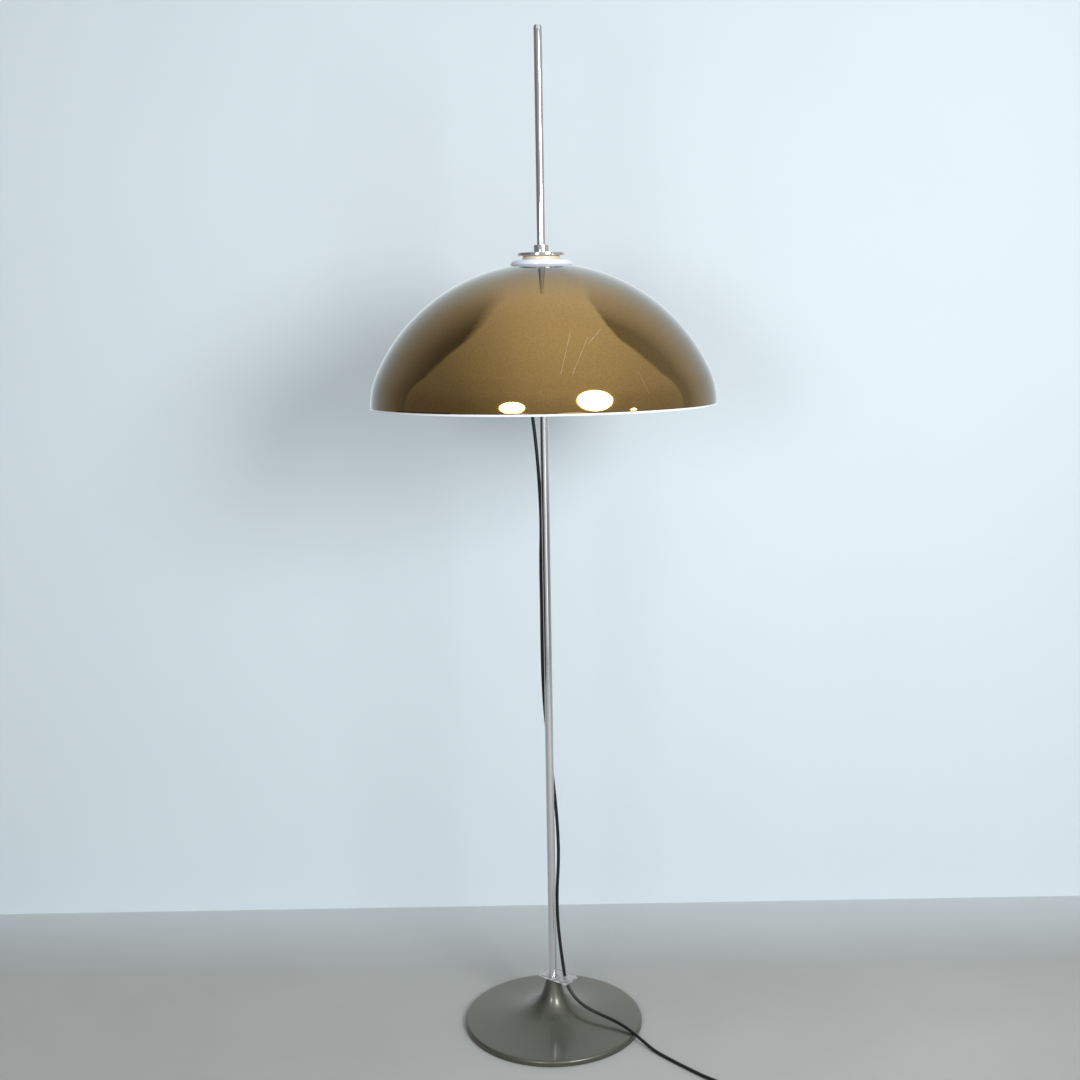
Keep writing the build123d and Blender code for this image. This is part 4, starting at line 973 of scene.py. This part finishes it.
SHADE_LEVEL, FOOT_LEVEL = 1.0, 0.36
soft_lamp("lamp_right", (1.13, -1.86, 1.41), SHADE_LEVEL, (0.86, 0.96), 38.0)
soft_lamp("lamp_left", (-0.72, -2.12, 1.15), SHADE_LEVEL, (0.60, 0.56), 12.0)
soft_lamp("lamp_far", (1.83, -1.25, 0.90), SHADE_LEVEL, (0.17, 0.17), 1.0)
soft_lamp("strip_right", (0.72, -2.30, 0.36), FOOT_LEVEL, (0.80, 0.90), 2.4)
soft_lamp("strip_left", (-0.55, -2.36, 0.36), FOOT_LEVEL, (0.42, 0.90), 0.9)

# %% [markdown]
# ## Room
# The glossy dome shows the room that it stood in, and no lamp can draw that, so the room's
# brightness is written by direction. Round the lamp one list goes by compass bearing and holds
# for the dim part behind it; three more, by height, from left to right and by depth, are
# multiplied for the part in front and overhead. The last two lists say where the two parts meet,
# which is softer on the left than on the right.

# %% The room's brightness
ROOM_TINT = (0.95, 0.985, 1.0, 1.0)
SEEN_DIRECTLY = 0.75       # plain level of the background where no wall is
BEHIND = [  # bearing in degrees: 180 is straight behind, -90 left, 90 right
    (-180, 0.97), (-170, 0.90), (-160, 0.73), (-150, 0.60), (-140, 0.46), (-130, 0.36),
    (-120, 0.27), (-110, 0.18), (-98, 0.11), (98, 0.33), (108, 0.33), (115, 0.46), (125, 0.60),
    (135, 0.70), (145, 0.78), (155, 0.87), (165, 0.96), (180, 0.97),
]
BY_HEIGHT = [(0.0, 0.50), (0.2, 0.56), (0.4, 0.69), (0.6, 0.72), (0.8, 0.80), (1.0, 0.94)]
LEFT_TO_RIGHT = [
    (-1, 0.33), (-0.8, 0.40), (-0.6, 0.58), (-0.4, 0.72), (-0.2, 0.89), (0, 1.0),
    (0.25, 1.07), (0.45, 1.10), (0.65, 1.05), (0.8, 0.93), (1, 0.85),
]
OVERHEAD = [(-1, 1.0), (0.05, 1.0), (0.3, 1.12), (0.6, 1.14), (1, 1.1)]
# how far to the side the bright middle reaches, by depth, and where the dim sides end in front
MIDDLE = [
    (-0.1, 0.75), (0, 0.60), (0.08, 0.49), (0.15, 0.43), (0.23, 0.375), (0.3, 0.335),
    (0.36, 0.295), (0.45, 0.265), (0.55, 0.24), (0.65, 0.20), (0.75, 0.14), (0.85, 0.07),
    (1.0, 0.0),
]
FRONT_END = [(0, 0.0), (0.6, 0.0), (0.76, 0.03), (0.9, 0.12), (1.0, 0.22)]
SOFT_LEFT, SOFT_RIGHT, SOFT_FRONT = 0.13, 0.035, 0.04
print("room tint", ROOM_TINT[:3])

# %% [markdown]
# A colour ramp is the quickest way to look a level up in a list. Its positions run from 0 to 1, so
# each list is first scaled to that range. What the camera sees directly past the wall is set
# apart from what the lamp mirrors: it gets one plain pale level.

# %% Room
world = bpy.data.worlds.new("pale_room")
bpy.context.scene.world = world
world.use_nodes = True
nodes, links = world.node_tree.nodes, world.node_tree.links


def calc(kind, *values, clamp=False):
    """Math in the world's own nodes."""
    return math_node(nodes, links, kind, *values, clamp=clamp)


def level_ramp(source, stops, smooth=False):
    """Look a level up in a list of (position, level) over the range of its positions."""
    low, high = stops[0][0], stops[-1][0]
    ramp = nodes.new("ShaderNodeValToRGB")
    ramp.color_ramp.interpolation = "CARDINAL" if smooth else "LINEAR"
    marks = ramp.color_ramp.elements
    for number, (position, level) in enumerate(stops):
        if 0 < number < len(stops) - 1:
            mark = marks.new((position - low) / (high - low))
        else:
            mark = marks[-1 if number else 0]
        mark.color = (level, level, level, 1.0)
    links.new(calc("DIVIDE", calc("SUBTRACT", source, low), high - low), ramp.inputs["Fac"])
    return ramp.outputs["Color"]


def fade_in(distance, softness):
    """0 to 1 across an edge of a given softness."""
    return calc("ADD", calc("DIVIDE", distance, softness), 0.5, clamp=True)


direction = nodes.new("ShaderNodeTexCoord")
parts = nodes.new("ShaderNodeSeparateXYZ")
links.new(direction.outputs["Generated"], parts.inputs["Vector"])
across, away, up = parts.outputs
bearing = calc("MULTIPLY", calc("ARCTAN2", across, calc("MULTIPLY", away, -1.0)), 180 / pi)
behind = level_ramp(bearing, BEHIND)
front = calc("MULTIPLY", level_ramp(up, BY_HEIGHT), level_ramp(across, LEFT_TO_RIGHT))
front = calc("MULTIPLY", front, level_ramp(away, OVERHEAD))
aside = calc("ABSOLUTE", across)
on_right = calc("GREATER_THAN", across, 0.0)
soft = calc("MULTIPLY_ADD", on_right, SOFT_RIGHT - SOFT_LEFT, SOFT_LEFT)
past_middle = calc("SUBTRACT", aside, level_ramp(away, MIDDLE, smooth=True))
past_front = calc("SUBTRACT", away, level_ramp(aside, FRONT_END))
share = calc("MULTIPLY", fade_in(past_middle, soft), fade_in(past_front, SOFT_FRONT))
level = calc("MULTIPLY_ADD", share, calc("SUBTRACT", behind, front), front)
direct = nodes.new("ShaderNodeLightPath").outputs["Is Camera Ray"]
level = calc("MULTIPLY_ADD", direct, calc("SUBTRACT", SEEN_DIRECTLY, level), level)
links.new(level, nodes["Background"].inputs["Strength"])
nodes["Background"].inputs["Color"].default_value = ROOM_TINT
bpy.context.scene.view_settings.view_transform = "Standard"
print("room", len(nodes), "nodes")
